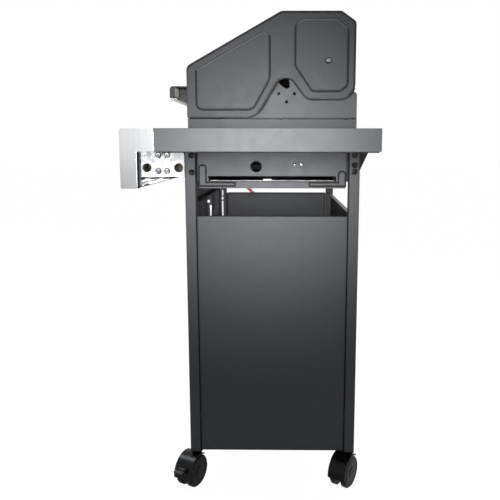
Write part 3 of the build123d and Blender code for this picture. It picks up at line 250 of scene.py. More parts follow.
LOOKS = {
    "charcoal": powder_coat("charcoal_paint", (0.069, 0.071, 0.076), (0.084, 0.086, 0.092),
                            roughness=0.5, specular=0.16, edge=0.0018),
    # Painted shade: a darker copy of the charcoal paint for the lid, whose ends take less light than the
    # shelf ends
    "lid": powder_coat("lid_paint_shaded", (0.052, 0.054, 0.058), (0.064, 0.066, 0.071),
                       roughness=0.5, specular=0.16, edge=0.006),
    # Painted highlight: a lighter copy of the paint, for the lid fields' edges that look up to the light
    "edge_highlight": powder_coat("edge_highlight_paint", (0.15, 0.153, 0.16), (0.2, 0.203, 0.21),
                         roughness=0.45, specular=0.2, edge=0.0005),
    "stainless": brushed("stainless", (0.6, 0.6, 0.6), (0.8, 0.8, 0.79),
                         roughness=0.26, stretch=(3, 900, 900)),
    "mirror": polished("mirror_steel", (0.68, 0.69, 0.7), (0.76, 0.76, 0.77), fine=0.05, coarse=0.16),
    "galvanised": zinc("galvanised", (0.18, 0.184, 0.191), (0.28, 0.284, 0.291), roughness=0.42),
    "screw": metal("screw_steel", (0.018, 0.018, 0.02), (0.042, 0.042, 0.044), roughness=0.1, stains=200.0),
    "bolt": metal("bolt_steel", (0.05, 0.05, 0.052), (0.11, 0.11, 0.113), roughness=0.3, stains=200.0),
    "brass": metal("brass", (0.13, 0.1, 0.035), (0.3, 0.24, 0.1), roughness=0.36, stains=80.0),
    # Painted shade: a darker copy of the brass, for the manifold that lies in shade inside the control panel
    "pipe": metal("brass_shaded", (0.018, 0.0145, 0.006), (0.05, 0.04, 0.016), roughness=0.4, stains=80.0),
    "chrome": metal("dial_chrome", (0.7, 0.7, 0.71), (0.85, 0.85, 0.86), roughness=0.1, stains=60.0),
    # Painted light: a bright steel for the door edges that the light through the gaps falls on
    "gap_light": metal("gap_light_steel", (0.66, 0.66, 0.67), (0.8, 0.8, 0.81), roughness=0.42, stains=120.0),
    "iron": moulded("cast_iron", (0.018, 0.018, 0.018), (0.035, 0.034, 0.033),
                    roughness=0.55, grain=900.0, depth=0.0002, specular=0.4),
    "rubber": moulded("hose_rubber", (0.5, 0.1, 0.025), (0.66, 0.17, 0.05),
                      roughness=0.45, grain=500.0, depth=0.00004),
    "plastic": moulded("dark_plastic", (0.02, 0.02, 0.02), (0.031, 0.03, 0.029),
                       roughness=0.45, grain=1400.0, depth=0.00005, specular=0.3),
    # Painted shade: a dark paint for the lid edges and fascia lips that stand in shade
    "edge_shade": moulded("dark_edge_shade", (0.012, 0.012, 0.013), (0.02, 0.02, 0.021),
                   roughness=0.5, grain=700.0, depth=0.00005, specular=0.15),
    "caster": moulded("caster_black", (0.005, 0.005, 0.006), (0.009, 0.009, 0.01),
                      roughness=0.27, grain=1000.0, depth=0.00002, specular=0.15),
    "tyre": moulded("tyre_black", (0.007, 0.007, 0.007), (0.012, 0.012, 0.012),
                    roughness=0.4, grain=700.0, depth=0.00006, specular=0.12),
    "lever": moulded("lever_grey", (0.026, 0.028, 0.031), (0.042, 0.045, 0.049),
                     roughness=0.35, grain=1400.0, depth=0.00004, specular=0.3),
    "red": moulded("needle_red", (0.5, 0.02, 0.015), (0.65, 0.04, 0.02),
                   roughness=0.35, grain=900.0, depth=0.00002),
    # Dark all over; the bright strip on its lip is a painted highlight
    "tray": moulded("tray_dark", (0.008, 0.008, 0.009), (0.016, 0.016, 0.017),
                    roughness=0.4, grain=500.0, depth=0.00004, specular=0.2),
    # Painted highlight: a pale colour for the lit walls inside the handle brackets' pockets
    "lit_wall": moulded("pale_lit_wall", (0.66, 0.65, 0.59), (0.78, 0.76, 0.7),
                     roughness=0.5, grain=800.0, depth=0.000003, specular=0.3),
    # Painted shade: a black for the crosses, rings, creases, seams, gaps and holes where shade falls
    "painted_shade": moulded("painted_shade_black", (0.004, 0.004, 0.004), (0.012, 0.012, 0.012),
                      roughness=0.6, grain=900.0, depth=0.00003, specular=0.2),
    "print": moulded("grey_print", (0.05, 0.05, 0.052), (0.08, 0.08, 0.08),
                     roughness=0.5, grain=900.0, depth=0.00001, specular=0.3),
    "white": moulded("white_print", (0.72, 0.72, 0.7), (0.82, 0.82, 0.8),
                     roughness=0.5, grain=900.0, depth=0.00001, specular=0.3),
    "face": moulded("dial_face", (0.74, 0.73, 0.7), (0.82, 0.81, 0.78),
                    roughness=0.5, grain=600.0, depth=0.00001, specular=0.3),
    "glass": glass("dial_glass", (0.97, 0.98, 0.98), ior=1.45),
}

# Starts of the node names that take each look; the other nodes are painted charcoal
USES = {
    "stainless": ["control_panel", "door_handle", "lid_handle_bar", "burner_tubes", "flame_tamers"],
    "mirror": ["shelf_fascia"],
    "galvanised": ["panel_end_brackets", "door_hinge_pins", "valve_stem"],
    "bolt": ["hinge_bolts"],
    "tray": ["grease_tray"],
    "screw": ["cart_screws"],
    "lid": ["lid_ends", "lid_skin"],
    "iron": ["cooking_grates", "warming_rack"],
    "brass": ["gas_valves", "regulator"],
    "pipe": ["gas_manifold"],
    "rubber": ["gas_hose"],
    "plastic": ["knob", "lid_handle_brackets"],
    "caster": ["caster_hood"],
    "tyre": ["caster_wheels", "caster_plates"],
    "lever": ["brake_lever"],
    "chrome": ["thermometer"],
    "red": ["thermometer_needle"],
}


def look_of(name):
    """Look with the longest listed start that fits a node's name."""
    fits = [(0, "charcoal")]
    for look, starts in USES.items():
        fits += [(len(start), look) for start in starts if name.startswith(start)]
    return max(fits)[1]


for node_name, cad_piece in nodes.items():
    cad_piece.data.materials.clear()
    cad_piece.data.materials.append(LOOKS[look_of(node_name)])


# Mesh helpers


SMOOTH_ANGLE = 35


def polar(radius, turn):
    """Point of a plane by its radius and its angle in radians."""
    return radius * math.cos(turn), radius * math.sin(turn)


class Shape:
    """Points and faces of one piece, gathered before it becomes an object."""

    def __init__(self):
        self.points = []
        self.faces = []

    def add(self, points, faces):
        """More points, with faces that count from the first of them."""
        start = len(self.points)
        self.points += [Vector(point) for point in points]
        self.faces += [[start + index for index in face] for face in faces]

    def prism(self, outline, seat, height):
        """Flat outline in the seat's plane, raised along its normal."""
        count = len(outline)
        low = [seat @ Vector((x, y, 0)) for x, y in outline]
        high = [seat @ Vector((x, y, height)) for x, y in outline]
        faces = [list(range(count, 2 * count)), list(range(count - 1, -1, -1))]
        for index in range(count):
            after = (index + 1) % count
            faces.append([index, after, count + after, count + index])
        self.add(low + high, faces)

    def lathe(self, profile, seat, steps):
        """Radius and height pairs turned about the seat's normal; the ends are closed."""
        points = []
        for radius, height in profile:
            for step in range(steps):
                points.append(seat @ Vector((*polar(radius, 2 * math.pi * step / steps), height)))
        faces = [list(range(steps - 1, -1, -1))]
        for row in range(len(profile) - 1):
            base = row * steps
            for step in range(steps):
                after = (step + 1) % steps
                faces.append([base + step, base + after, base + steps + after, base + steps + step])
        faces.append(list(range((len(profile) - 1) * steps, len(profile) * steps)))
        self.add(points, faces)

    def ring(self, profile, seat, steps):
        """Closed loop of radius and height pairs turned about the seat's normal."""
        rows = len(profile)
        points = []
        for step in range(steps):
            for radius, height in profile:
                points.append(seat @ Vector((*polar(radius, 2 * math.pi * step / steps), height)))
        faces = []
        for step in range(steps):
            here = step * rows
            after = (step + 1) % steps * rows
            for row in range(rows):
                up = (row + 1) % rows
                faces.append([here + row, after + row, after + up, here + up])
        self.add(points, faces)

    def build(self, name, body, look, smooth=False):
        """Object of the gathered faces, riding on a body."""
        mesh = bpy.data.meshes.new(name)
        mesh.from_pydata([tuple(point) for point in self.points], [], self.faces)
        mesh.validate()
        work = bmesh.new()
        work.from_mesh(mesh)
        loose = [vert for vert in work.verts if not vert.link_faces]
        bmesh.ops.delete(work, geom=loose, context="VERTS")
        bmesh.ops.recalc_face_normals(work, faces=work.faces)
        work.to_mesh(mesh)
        work.free()
        if smooth:
            mesh.shade_smooth()
            mesh.set_sharp_from_angle(angle=math.radians(SMOOTH_ANGLE))
        mesh.materials.append(LOOKS[look])
        made = bpy.data.objects.new(name, mesh)
        scene.collection.objects.link(made)
        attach(made, body)


def seat_at(origin, normal, along):
    """Frame with a normal and a first axis, at a point."""
    z = Vector(normal).normalized()
    x = Vector(along)
    x = (x - z * x.dot(z)).normalized()
    y = z.cross(x)
    turn = Matrix((x, y, z)).transposed().to_4x4()
    return Matrix.Translation(origin) @ turn


def rectangle(low, high):
    """Outline between two opposite corners."""
    return [(low[0], low[1]), (high[0], low[1]), (high[0], high[1]), (low[0], high[1])]


def cross(reach, half):
    """Outline of a plus sign."""
    return [(half, half), (half, reach), (-half, reach), (-half, half), (-reach, half), (-reach, -half),
            (-half, -half), (-half, -reach), (half, -reach), (half, -half), (reach, -half), (reach, half)]


def middle(name):
    """Middle of a node's box."""
    low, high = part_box(name)
    return (Vector(low) + Vector(high)) / 2


# Gas hose, on the route of its CAD tube from the elbow on the pipe


ELBOW = Vector((-0.368, -0.2184 + CART_Y, 0.8012))
HOSE_ROUTE = [
    (0.0, 0.0153, -0.0128),
    (0.0, 0.0684, -0.0572),
    (-0.002, 0.1684, -0.1492),
    (-0.004, 0.2064, -0.2532),
    (-0.005, 0.2124, -0.3712),
    (-0.005, 0.2124, -0.4862),
]
HOSE_DIAMETER = 0.011

hose_points = [ELBOW + Vector(offset) for offset in HOSE_ROUTE]
curve = bpy.data.curves.new("gas_hose_rubber", "CURVE")
curve.dimensions = "3D"
curve.bevel_depth = HOSE_DIAMETER / 2
curve.bevel_resolution = 5
curve.use_fill_caps = True
spline = curve.splines.new("NURBS")
spline.points.add(len(hose_points) - 1)
for spline_point, place in zip(spline.points, hose_points):
    spline_point.co = (*place, 1)
spline.order_u = 3
spline.use_endpoint_u = True
spline.resolution_u = 16
hose = bpy.data.objects.new("gas_hose_rubber", curve)
scene.collection.objects.link(hose)
hose.data.materials.append(LOOKS["rubber"])
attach(hose, "cart")
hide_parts("gas_hose")


# Crimped sleeves on both ends of the hose


SLEEVE_BORE = 0.0056
SLEEVE_RADIUS = 0.0067
SLEEVE_LENGTH = 0.0186
SLEEVE_CHAMFER = 0.0004
CRIMP_RADIUS = 0.0062
CRIMP_HALF = 0.0008
CRIMP_HEIGHTS = (0.0058, 0.0123)

sleeve = [(SLEEVE_BORE, 0.0), (SLEEVE_RADIUS, SLEEVE_CHAMFER)]
for height in CRIMP_HEIGHTS:
    sleeve.append((SLEEVE_RADIUS, height - CRIMP_HALF))
    sleeve.append((CRIMP_RADIUS, height))
    sleeve.append((SLEEVE_RADIUS, height + CRIMP_HALF))
sleeve += [(SLEEVE_RADIUS, SLEEVE_LENGTH - CRIMP_HALF), (SLEEVE_BORE, SLEEVE_LENGTH)]
sleeves = Shape()
for end, inward in ((0, 1), (-1, -2)):
    run = hose_points[inward] - hose_points[end]
    sleeves.ring(sleeve, seat_at(hose_points[end], run, (1, 0, 0)), steps=24)
sleeves.build("hose_sleeves", "cart", "galvanised", smooth=True)


# Painted shade: dark crosses in the screws' recesses, and dark rings round their heads


# Each screw's distance behind the cart's middle and its drop from the shelf tops
SCREWS = [(-0.1882, 0.0505), (-0.1882, 0.0898), (0.1925, 0.0489), (0.1925, 0.0727), (0.1925, 0.088),
          (-0.2452, 0.049), (-0.2452, 0.0869)]
SCREW_HEAD = 0.0025
RECESS_REACH = 0.0032
RECESS_HALF = 0.0006
RECESS_RISE = 0.00008
HEAD_SHADE_RING = [(0.0056, 0.0), (0.0056, 0.0003), (0.0070, 0.00008), (0.0070, 0.0)]

shade_marks = Shape()
for side in SIDES:
    for y, drop in SCREWS:
        head = Vector((side * (SIDE_X + SCREW_HEAD), y + CART_Y, SHELF_TOP - drop))
        foot = Vector((side * SIDE_X, y + CART_Y, SHELF_TOP - drop))
        shade_marks.prism(cross(RECESS_REACH, RECESS_HALF), seat_at(head, (side, 0, 0), (0, 1, 1)), RECESS_RISE)
        shade_marks.ring(HEAD_SHADE_RING, seat_at(foot, (side, 0, 0), (0, 1, 0)), steps=24)
shade_marks.build("screw_shade_marks", "cart", "painted_shade")


# Rivet heads on the firebox ends


RIVET_YS = (0.052, 0.068)
RIVET_Z = 0.809
RIVET_DOME = [(0.0032, 0.0), (0.0031, 0.0005), (0.0025, 0.001), (0.0014, 0.0013), (0.0003, 0.0014)]

rivets = Shape()
for side in SIDES:
    for y in RIVET_YS:
        seat = seat_at((side * END_FACE_X, y + CART_Y, RIVET_Z), (side, 0, 0), (0, 1, 0))
        rivets.lathe(RIVET_DOME, seat, steps=20)
rivets.build("end_rivets", "cart", "chrome", smooth=True)


# Helpers that follow the outlines of CAD faces


WELD = 1e-6
LEVEL_ERROR = 2e-5
SHARPEST_MITRE = 0.2
UPWARD = 0.45


def face_loops(piece, level):
    """Outlines of the flat faces that lie at one X of a CAD node."""
    work = bmesh.new()
    work.from_mesh(piece.data)
    work.transform(piece.matrix_world)
    bmesh.ops.remove_doubles(work, verts=work.verts, dist=WELD)
    flat = [face for face in work.faces if all(abs(vert.co.x - level) < LEVEL_ERROR for vert in face.verts)]
    known = set(flat)
    nexts = {}
    for face in flat:
        for loop in face.loops:
            if sum(other in known for other in loop.edge.link_faces) == 1:
                nexts[loop.vert] = loop.link_loop_next.vert
    loops = []
    while nexts:
        start, place = next(iter(nexts.items()))
        outline = [start.co.copy()]
        del nexts[start]
        while place != start:
            outline.append(place.co.copy())
            place = nexts.pop(place)
        loops.append(outline)
    work.free()
    return loops


def sweep(shape, outline, side, section, keep):
    """Closed section of outward and upward offsets, swept along the kept runs of a side face's outline."""
    normal = Vector((side, 0, 0))
    rows = len(section)
    count = len(outline)
    points = []
    for index, place in enumerate(outline):
        before = (place - outline[index - 1]).normalized()
        after = (outline[(index + 1) % count] - place).normalized()
        out = before.cross(normal) + after.cross(normal)
        out = out / max(out.length_squared / 2, SHARPEST_MITRE)
        points += [place + out * away + normal * up for away, up in section]
    faces = []
    for index in range(count):
        after = (index + 1) % count
        run = outline[after] - outline[index]
        if keep(outline[index], outline[after], run.cross(normal).normalized()):
            here = index * rows
            there = after * rows
            for row in range(rows):
                up = (row + 1) % rows
                faces.append([here + row, there + row, there + up, here + up])
    shape.add(points, faces)


# Runs of an outline, by their ends and the way that they look


def everywhere(start, end, out):
    return True


def upward(start, end, out):
    return out.z >= UPWARD


def not_upward(start, end, out):
    return out.z < UPWARD


# Slopes round the raised forms of the lid's ends and the firebox ends, with dark creases of painted shade
# and bright ridges of painted highlight


PRESS_RISE = 0.0015
LID_FIELD_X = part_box("lid_ends")[1][0]
LID_FACE_X = LID_FIELD_X - PRESS_RISE
RIB_X = END_FACE_X + PRESS_RISE
FIELD_FOOT = 0.0022
FIELD_CREASE = 0.0022
RIB_FOOT = 0.0012
RIB_CREASE = 0.0028
CREASE_TUCK = 0.0006
# Section of the strip of painted highlight along the top of each upward-looking slope
HIGHLIGHT_SECTION = [(-0.0009, -0.0003), (-0.0009, 0.00012), (0.0003, 0.00006), (0.0008, -0.0004), (0.0004, -0.0008)]


def slope_section(wide):
    """Slope from a raised form's edge down to the sheet, a foot's width away."""
    return [(-0.0008, -0.0004), (-0.0008, 0.00004), (0.0003, -0.0001),
            (wide, 0.0001 - PRESS_RISE), (wide, -0.0001 - PRESS_RISE)]


def crease_section(wide, crease):
    """Painted shade: a dark line on the sheet, from under the slope's foot outward, for the shade in the
    crease.
    """
    inner = wide - CREASE_TUCK
    outer = wide + crease
    return [(inner, -0.0002 - PRESS_RISE), (inner, 0.0003 - PRESS_RISE),
            (outer, 0.00006 - PRESS_RISE), (outer, -0.0002 - PRESS_RISE)]


def pressed(name, body, piece, level, wide, crease, look, highlighted):
    """Slope and painted crease shade round each raised form; a highlighted one has a painted highlight strip
    instead of crease shade where it looks up.
    """
    slopes = Shape()
    crease_shades = Shape()
    highlights = Shape()
    for side in SIDES:
        for outline in face_loops(nodes[piece], side * level):
            sweep(slopes, outline, side, slope_section(wide), everywhere)
            sweep(crease_shades, outline, side, crease_section(wide, crease), not_upward if highlighted else everywhere)
            if highlighted:
                sweep(highlights, outline, side, HIGHLIGHT_SECTION, upward)
    slopes.build(f"{name}_slopes", body, look, smooth=True)
    crease_shades.build(f"{name}_creases", body, "painted_shade")
    if highlighted:
        highlights.build(f"{name}_ridges", body, "edge_highlight")


pressed("lid_field", "lid", "lid_ends", LID_FIELD_X, FIELD_FOOT, FIELD_CREASE, "lid", highlighted=True)
for side_name in SIDE_NAMES.values():
    end_plate = f"firebox_end_{side_name}"
    pressed(f"rib_{side_name}", "cart", end_plate, RIB_X, RIB_FOOT, RIB_CREASE, "charcoal", highlighted=False)


# Painted shade: a dark strip on the edge of the arch that is cut in each lid end, for the shade in the seam


EDGE_CLEARANCE = 0.001
ARCH_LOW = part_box("lid_ends")[0][2] + EDGE_CLEARANCE
ARCH_TOP = 1.072
ARCH_FRONT = -0.09 + CART_Y
ARCH_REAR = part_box("lid_ends")[1][1] - EDGE_CLEARANCE
ARCH_SHADE = [(-0.0004, -0.0017), (-0.0004, 0.0001), (0.0014, -0.0004), (0.0014, -0.0017)]


def on_arch(start, end, out):
    """Runs that keep clear of the lid end's outer edges."""
    inside_height = min(start.z, end.z) > ARCH_LOW and max(start.z, end.z) < ARCH_TOP
    inside_depth = min(start.y, end.y) > ARCH_FRONT and max(start.y, end.y) < ARCH_REAR
    return inside_height and inside_depth


seam_shade = Shape()
for side in SIDES:
    for outline in face_loops(nodes["lid_ends"], side * LID_FACE_X):
        sweep(seam_shade, outline, side, ARCH_SHADE, on_arch)
seam_shade.build("lid_arch_seam_shade", "lid", "painted_shade")


# Painted shade on the top and rear edges of each lid end, where the rolled edges turn away from the light


SHADE_UPWARD = 0.3
SHADE_REARWARD = 0.6
EDGE_SHADE = [(-0.0048, -0.0002), (-0.0048, 0.00005), (-0.0008, 0.0004), (0.0, 0.0), (0.0, -0.0002)]


def along_top(start, end, out):
    """Runs that look up or to the rear."""
    return out.z > SHADE_UPWARD or out.y > SHADE_REARWARD


top_shades = Shape()
for side in SIDES:
    outline = max(face_loops(nodes["lid_ends"], side * LID_FACE_X), key=len)
    sweep(top_shades, outline, side, EDGE_SHADE, along_top)
top_shades.build("lid_edge_top_shades", "lid", "edge_shade", smooth=True)


# Painted highlight: pale sloped strips on the lit front wall of each handle bracket's pocket


POCKET_WALL = 0.0128
LIT_WALL_EDGE = 0.001
LIT_WALL_LENGTH = 0.0235
LIT_WALL_CLEARANCE = 0.004
LIT_WALL_THIN = 0.0003
LIT_WALL_THICK = 0.0044

bracket_low, bracket_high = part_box("lid_handle_brackets")
lit_wall_height = bracket_high[2] - bracket_low[2] - 2 * LIT_WALL_CLEARANCE
lit_walls = Shape()
for side in SIDES:
    outer_end = Vector((side * (bracket_high[0] - LIT_WALL_EDGE), bracket_low[1] + POCKET_WALL,
                        bracket_low[2] + LIT_WALL_CLEARANCE))
    deep = -side * LIT_WALL_LENGTH
    wedge = [(0.0, 0.0), (0.0, LIT_WALL_THIN), (deep, LIT_WALL_THICK), (deep, 0.0)]
    lit_walls.prism(wedge, seat_at(outer_end, (0, 0, 1), (1, 0, 0)), lit_wall_height)
lit_walls.build("handle_lit_walls", "lid", "lit_wall")


# Painted shade on the folded lip of each fascia's end, which stands in shadow


LIP_DEPTH = 0.0295
LIP_GAP = 0.0003
LIP_EDGE = 0.0012
LIP_WIDTH = 0.0132
LIP_RISE = 0.0002

fascia_low, fascia_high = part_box("shelf_fascia_right")
lip_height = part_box("shelf_right")[0][2] - fascia_low[2] - 2 * LIP_GAP
lip_shades = Shape()
for side in SIDES:
    corner = Vector((side * (fascia_high[0] - LIP_EDGE), fascia_low[1] + LIP_DEPTH, fascia_low[2] + LIP_GAP))
    seat = seat_at(corner, (0, 1, 0), (0, 0, 1))
    lip_shades.prism(rectangle((0.0, 0.0), (lip_height, -side * LIP_WIDTH)), seat, LIP_RISE)
lip_shades.build("fascia_lip_shade", "cart", "edge_shade")


# Painted highlight: a bright strip on the lower edge of the tray's lip and on its finger tab


TRAY_EDGE_IN = 0.0014
TRAY_EDGE_LOW = 0.0017
TRAY_EDGE_HIGH = 0.0024
TAB_LOW = (-0.0203, 0.0026)
TAB_HIGH = (-0.0017, 0.0055)
TRAY_EDGE_RISE = 0.00015

tray_low, tray_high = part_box("grease_tray")
tray_seat = seat_at((tray_high[0], CART_Y, tray_low[2]), (1, 0, 0), (0, 1, 0))
half_tray = (tray_high[1] - tray_low[1]) / 2 - TRAY_EDGE_IN
lip_highlight = Shape()
long_strip = rectangle((-half_tray, TRAY_EDGE_LOW), (half_tray, TRAY_EDGE_HIGH))
lip_highlight.prism(long_strip, tray_seat, TRAY_EDGE_RISE)
lip_highlight.prism(rectangle(TAB_LOW, TAB_HIGH), tray_seat, TRAY_EDGE_RISE)
lip_highlight.build("tray_lip_highlight", "tray", "galvanised")


# Painted shade: dark rounded lines on the cut edges of the shelf skirts and side panels, and a dark line
# along the firebox rim under the lid's gap


SHADE_LINE_RADIUS = 0.0012
SHADE_LINE_CORNER = 0.0009
SHADE_LINE = [(SHADE_LINE_CORNER, SHADE_LINE_CORNER), (SHADE_LINE_RADIUS, 0.0), (SHADE_LINE_CORNER, -SHADE_LINE_CORNER), (0.0, -SHADE_LINE_RADIUS),
        (-SHADE_LINE_CORNER, -SHADE_LINE_CORNER), (-SHADE_LINE_RADIUS, 0.0), (-SHADE_LINE_CORNER, SHADE_LINE_CORNER), (0.0, SHADE_LINE_CORNER)]
SHELF_SHADE_IN = 0.0013
SHELF_SHADE_END = 0.004
PANEL_SHADE_IN = 0.0006
PANEL_SHADE_END = 0.003
RIM_LINE_LOW = -0.0015
RIM_LINE_HIGH = 0.0003
RIM_LINE_END = 0.0005
RIM_LINE_RISE = 0.00015


def bead(shape, side, x, z, front, rear):
    """Dark rounded line of painted shade from front to rear along an edge of one side."""
    seat = seat_at((side * x, front, z), (0, 1, 0), (side, 0, 0))
    shape.prism(SHADE_LINE, seat, rear - front)


shelf_low, shelf_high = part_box("shelf_right")
panel_low, panel_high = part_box("side_panels")
rim_low, rim_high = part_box("firebox_end_right")
half_rim = (rim_high[1] - rim_low[1]) / 2 - RIM_LINE_END
shade_lines = Shape()
for side in SIDES:
    bead(shade_lines, side, shelf_high[0] - SHELF_SHADE_IN, shelf_low[2] - SHADE_LINE_CORNER,
         shelf_low[1] + SHELF_SHADE_END, shelf_high[1] - SHELF_SHADE_END)
    bead(shade_lines, side, END_FACE_X - PANEL_SHADE_IN, panel_high[2] + SHADE_LINE_CORNER,
         panel_low[1] + PANEL_SHADE_END, panel_high[1] - PANEL_SHADE_END)
    seat = seat_at((side * rim_high[0], CART_Y, rim_high[2]), (side, 0, 0), (0, side, 0))
    shade_lines.prism(rectangle((-half_rim, RIM_LINE_LOW), (half_rim, RIM_LINE_HIGH)), seat, RIM_LINE_RISE)
shade_lines.build("edge_shade_lines", "cart", "painted_shade")


# Thermometer: its face, marks, numbers and glass


# The lid's front sheet climbs 121 for every 217 that it goes back
DIAL_UP = Vector((0, 217, 121)).normalized()
DIAL_NORMAL = Vector((1, 0, 0)).cross(DIAL_UP)
DIAL_MIDDLE = Vector((0, -0.1092 + CART_Y, 1.0804))
DIAL_FLOOR = 0.005
DIAL_STEPS = 64
FACE_RISE = 0.0002
FACE = [(0.0316, DIAL_FLOOR), (0.0316, DIAL_FLOOR + FACE_RISE), (0.0018, DIAL_FLOOR + 0.00021)]
GLASS = [(0.0318, 0.0080), (0.0318, 0.0086), (0.022, 0.0093), (0.012, 0.0097), (0.0004, 0.0099)]
SCALE_START = 225
SCALE_SWEEP = 270
MARK_STEPS = 30
MARKS_PER_NUMBER = 5
MARK_OUTER = 0.0305
LONG_MARK_INNER = 0.0265
SHORT_MARK_INNER = 0.028
LONG_MARK_HALF = 0.0005
SHORT_MARK_HALF = 0.0003
MARK_RISE = 0.00006
NUMBERS = (50, 100, 150, 200, 250, 300, 350)
NUMBER_SIZE = 0.0058
NUMBER_RADIUS = 0.0215
NUMBER_LIFT = 0.00024
NUMBER_RISE = 0.00003

dial_seat = seat_at(DIAL_MIDDLE, DIAL_NORMAL, (1, 0, 0))
dial_face = Shape()
dial_face.lathe(FACE, dial_seat, DIAL_STEPS)
dial_face.build("dial_face", "lid", "face", smooth=True)

marks = Shape()
for step in range(MARK_STEPS + 1):
    turn = math.radians(SCALE_START - SCALE_SWEEP * step / MARK_STEPS)
    long_mark = step % MARKS_PER_NUMBER == 0
    inner = LONG_MARK_INNER if long_mark else SHORT_MARK_INNER
    half = LONG_MARK_HALF if long_mark else SHORT_MARK_HALF
    lift = Matrix.Translation((0, 0, DIAL_FLOOR + FACE_RISE))
    seat = dial_seat @ Matrix.Rotation(turn, 4, "Z") @ lift
    marks.prism(rectangle((inner, -half), (MARK_OUTER, half)), seat, MARK_RISE)
marks.build("dial_marks", "lid", "print")

for index, value in enumerate(NUMBERS):
    turn = math.radians(SCALE_START - SCALE_SWEEP * index / (len(NUMBERS) - 1))
    text = bpy.data.curves.new(f"dial_number_{index + 1}", "FONT")
    text.body = str(value)
    text.size = NUMBER_SIZE
    text.align_x = "CENTER"
    text.align_y = "CENTER"
    text.extrude = NUMBER_RISE
    number = bpy.data.objects.new(f"dial_number_{index + 1}", text)
    place = (*polar(NUMBER_RADIUS, turn), DIAL_FLOOR + NUMBER_LIFT)
    number.matrix_world = dial_seat @ Matrix.Translation(place)
    scene.collection.objects.link(number)
    text.materials.append(LOOKS["print"])
    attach(number, "lid")

window = Shape()
window.lathe(GLASS, dial_seat, DIAL_STEPS)
window.build("dial_glass", "lid", "glass", smooth=True)


# Knobs: bezels and heat marks on the panel, and a pointer on each knob


KNOBS = (1, 2, 3, 4)
BEZEL = [(0.0262, 0.0), (0.0262, 0.0016), (0.0270, 0.0024), (0.0290, 0.0020), (0.0300, 0.0)]
BEZEL_STEPS = 56
HEAT_RADIUS = 0.0345
HEAT_START = 140
HEAT_SWEEP = 180
HEAT_STEPS = 24
HEAT_WIDE = 0.0042
HEAT_NARROW = 0.0007
OFF_MARK = rectangle((-0.0007, 0.0335), (0.0007, 0.0385))
POINTER = rectangle((-0.0012, 0.003), (0.0012, 0.0188))
SKIRT_POINTER = rectangle((-0.0012, 0.0212), (0.0012, 0.0246))
SKIRT_DEPTH = 0.016
POINTER_RISE = 0.00004
PRINT_RISE = 0.00006


def heat_band(shape, seat):
    """Arc that narrows from the high heat to the low."""
    inner = []
    outer = []
    for step in range(HEAT_STEPS + 1):
        share = step / HEAT_STEPS
        turn = math.radians(HEAT_START + HEAT_SWEEP * share)
        inner.append(polar(HEAT_RADIUS, turn))
        outer.append(polar(HEAT_RADIUS + HEAT_WIDE + (HEAT_NARROW - HEAT_WIDE) * share, turn))
    for step in range(HEAT_STEPS):
        shape.prism([outer[step], outer[step + 1], inner[step + 1], inner[step]], seat, PRINT_RISE)


bezels = Shape()
heat = Shape()
for knob in KNOBS:
    centre = middle(f"knob_{knob}")
    knob_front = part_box(f"knob_{knob}")[0][1]
    panel_seat = seat_at((centre.x, PANEL_Y, centre.z), (0, -1, 0), (1, 0, 0))
    grip_seat = seat_at((centre.x, knob_front, centre.z), (0, -1, 0), (1, 0, 0))
    skirt_seat = seat_at((centre.x, knob_front + SKIRT_DEPTH, centre.z), (0, -1, 0), (1, 0, 0))
    bezels.ring(BEZEL, panel_seat, BEZEL_STEPS)
    heat_band(heat, panel_seat)
    heat.prism(OFF_MARK, panel_seat, PRINT_RISE)
    pointer = Shape()
    pointer.prism(POINTER, grip_seat, POINTER_RISE)
    pointer.prism(SKIRT_POINTER, skirt_seat, PRINT_RISE)
    pointer.build(f"knob_pointer_{knob}", f"knob_{knob}", "white")
bezels.build("knob_bezels", "cart", "chrome", smooth=True)
heat.build("heat_marks", "cart", "print")


# Two rows of ports along each burner, which lies behind a knob, drawn as black hexagons of painted shade


PORT_RADIUS = 0.0012
PORT_RISE = 0.00012
PORT_HEIGHT = 0.01248
PORT_LEAN = 40
PORTS_PER_ROW = 32
PORT_SPACING = 0.0092
FIRST_PORT_Y = -0.145 + CART_Y
HEXAGON = [polar(PORT_RADIUS, math.radians(60 * corner)) for corner in range(6)]

ports = Shape()
for knob in KNOBS:
    centre = middle(f"knob_{knob}")
    for side in SIDES:
        lean = math.radians(side * PORT_LEAN)
        out = Vector((math.sin(lean), 0, math.cos(lean)))
        for index in range(PORTS_PER_ROW):
            axis_point = Vector((centre.x, FIRST_PORT_Y + PORT_SPACING * index, centre.z))
            ports.prism(HEXAGON, seat_at(axis_point + out * PORT_HEIGHT, out, (0, 1, 0)), PORT_RISE)
ports.build("burner_ports", "cart", "painted_shade")


# Caps and bands on the outer faces of the caster wheels


# The front and rear casters stand turned, as in the photo
CASTER_TURN = {"front": -25.5, "rear": -31.0}
HUB_FACE = 0.023
CAP = [(0.0150, 0.0), (0.0150, 0.0004), (0.0142, 0.0009),
       (0.0062, 0.0009), (0.0056, 0.0004), (0.0004, 0.0004)]
CAP_STEPS = 40
BAND = [(0.0300, 0.0), (0.0303, 0.0005), (0.0313, 0.0005), (0.0316, 0.0)]
BAND_STEPS = 56

for row, degrees in CASTER_TURN.items():
    turn = math.radians(degrees)
    axle = Vector((-math.sin(turn), math.cos(turn), 0))
    for side_name in SIDE_NAMES.values():
        corner = f"{row}_{side_name}"
        hubs = Shape()
        for side in SIDES:
            face_middle = middle(f"caster_wheels_{corner}") + axle * side * HUB_FACE
            seat = seat_at(face_middle, axle * side, (0, 0, 1))
            hubs.lathe(CAP, seat, CAP_STEPS)
            hubs.ring(BAND, seat, BAND_STEPS)
        hubs.build(f"hub_caps_{corner}", f"wheels_{corner}", "tyre", smooth=True)


# Painted light: bright strips on the inner faces of each door's upright edges, for the light that comes
# through the gaps beside the doors


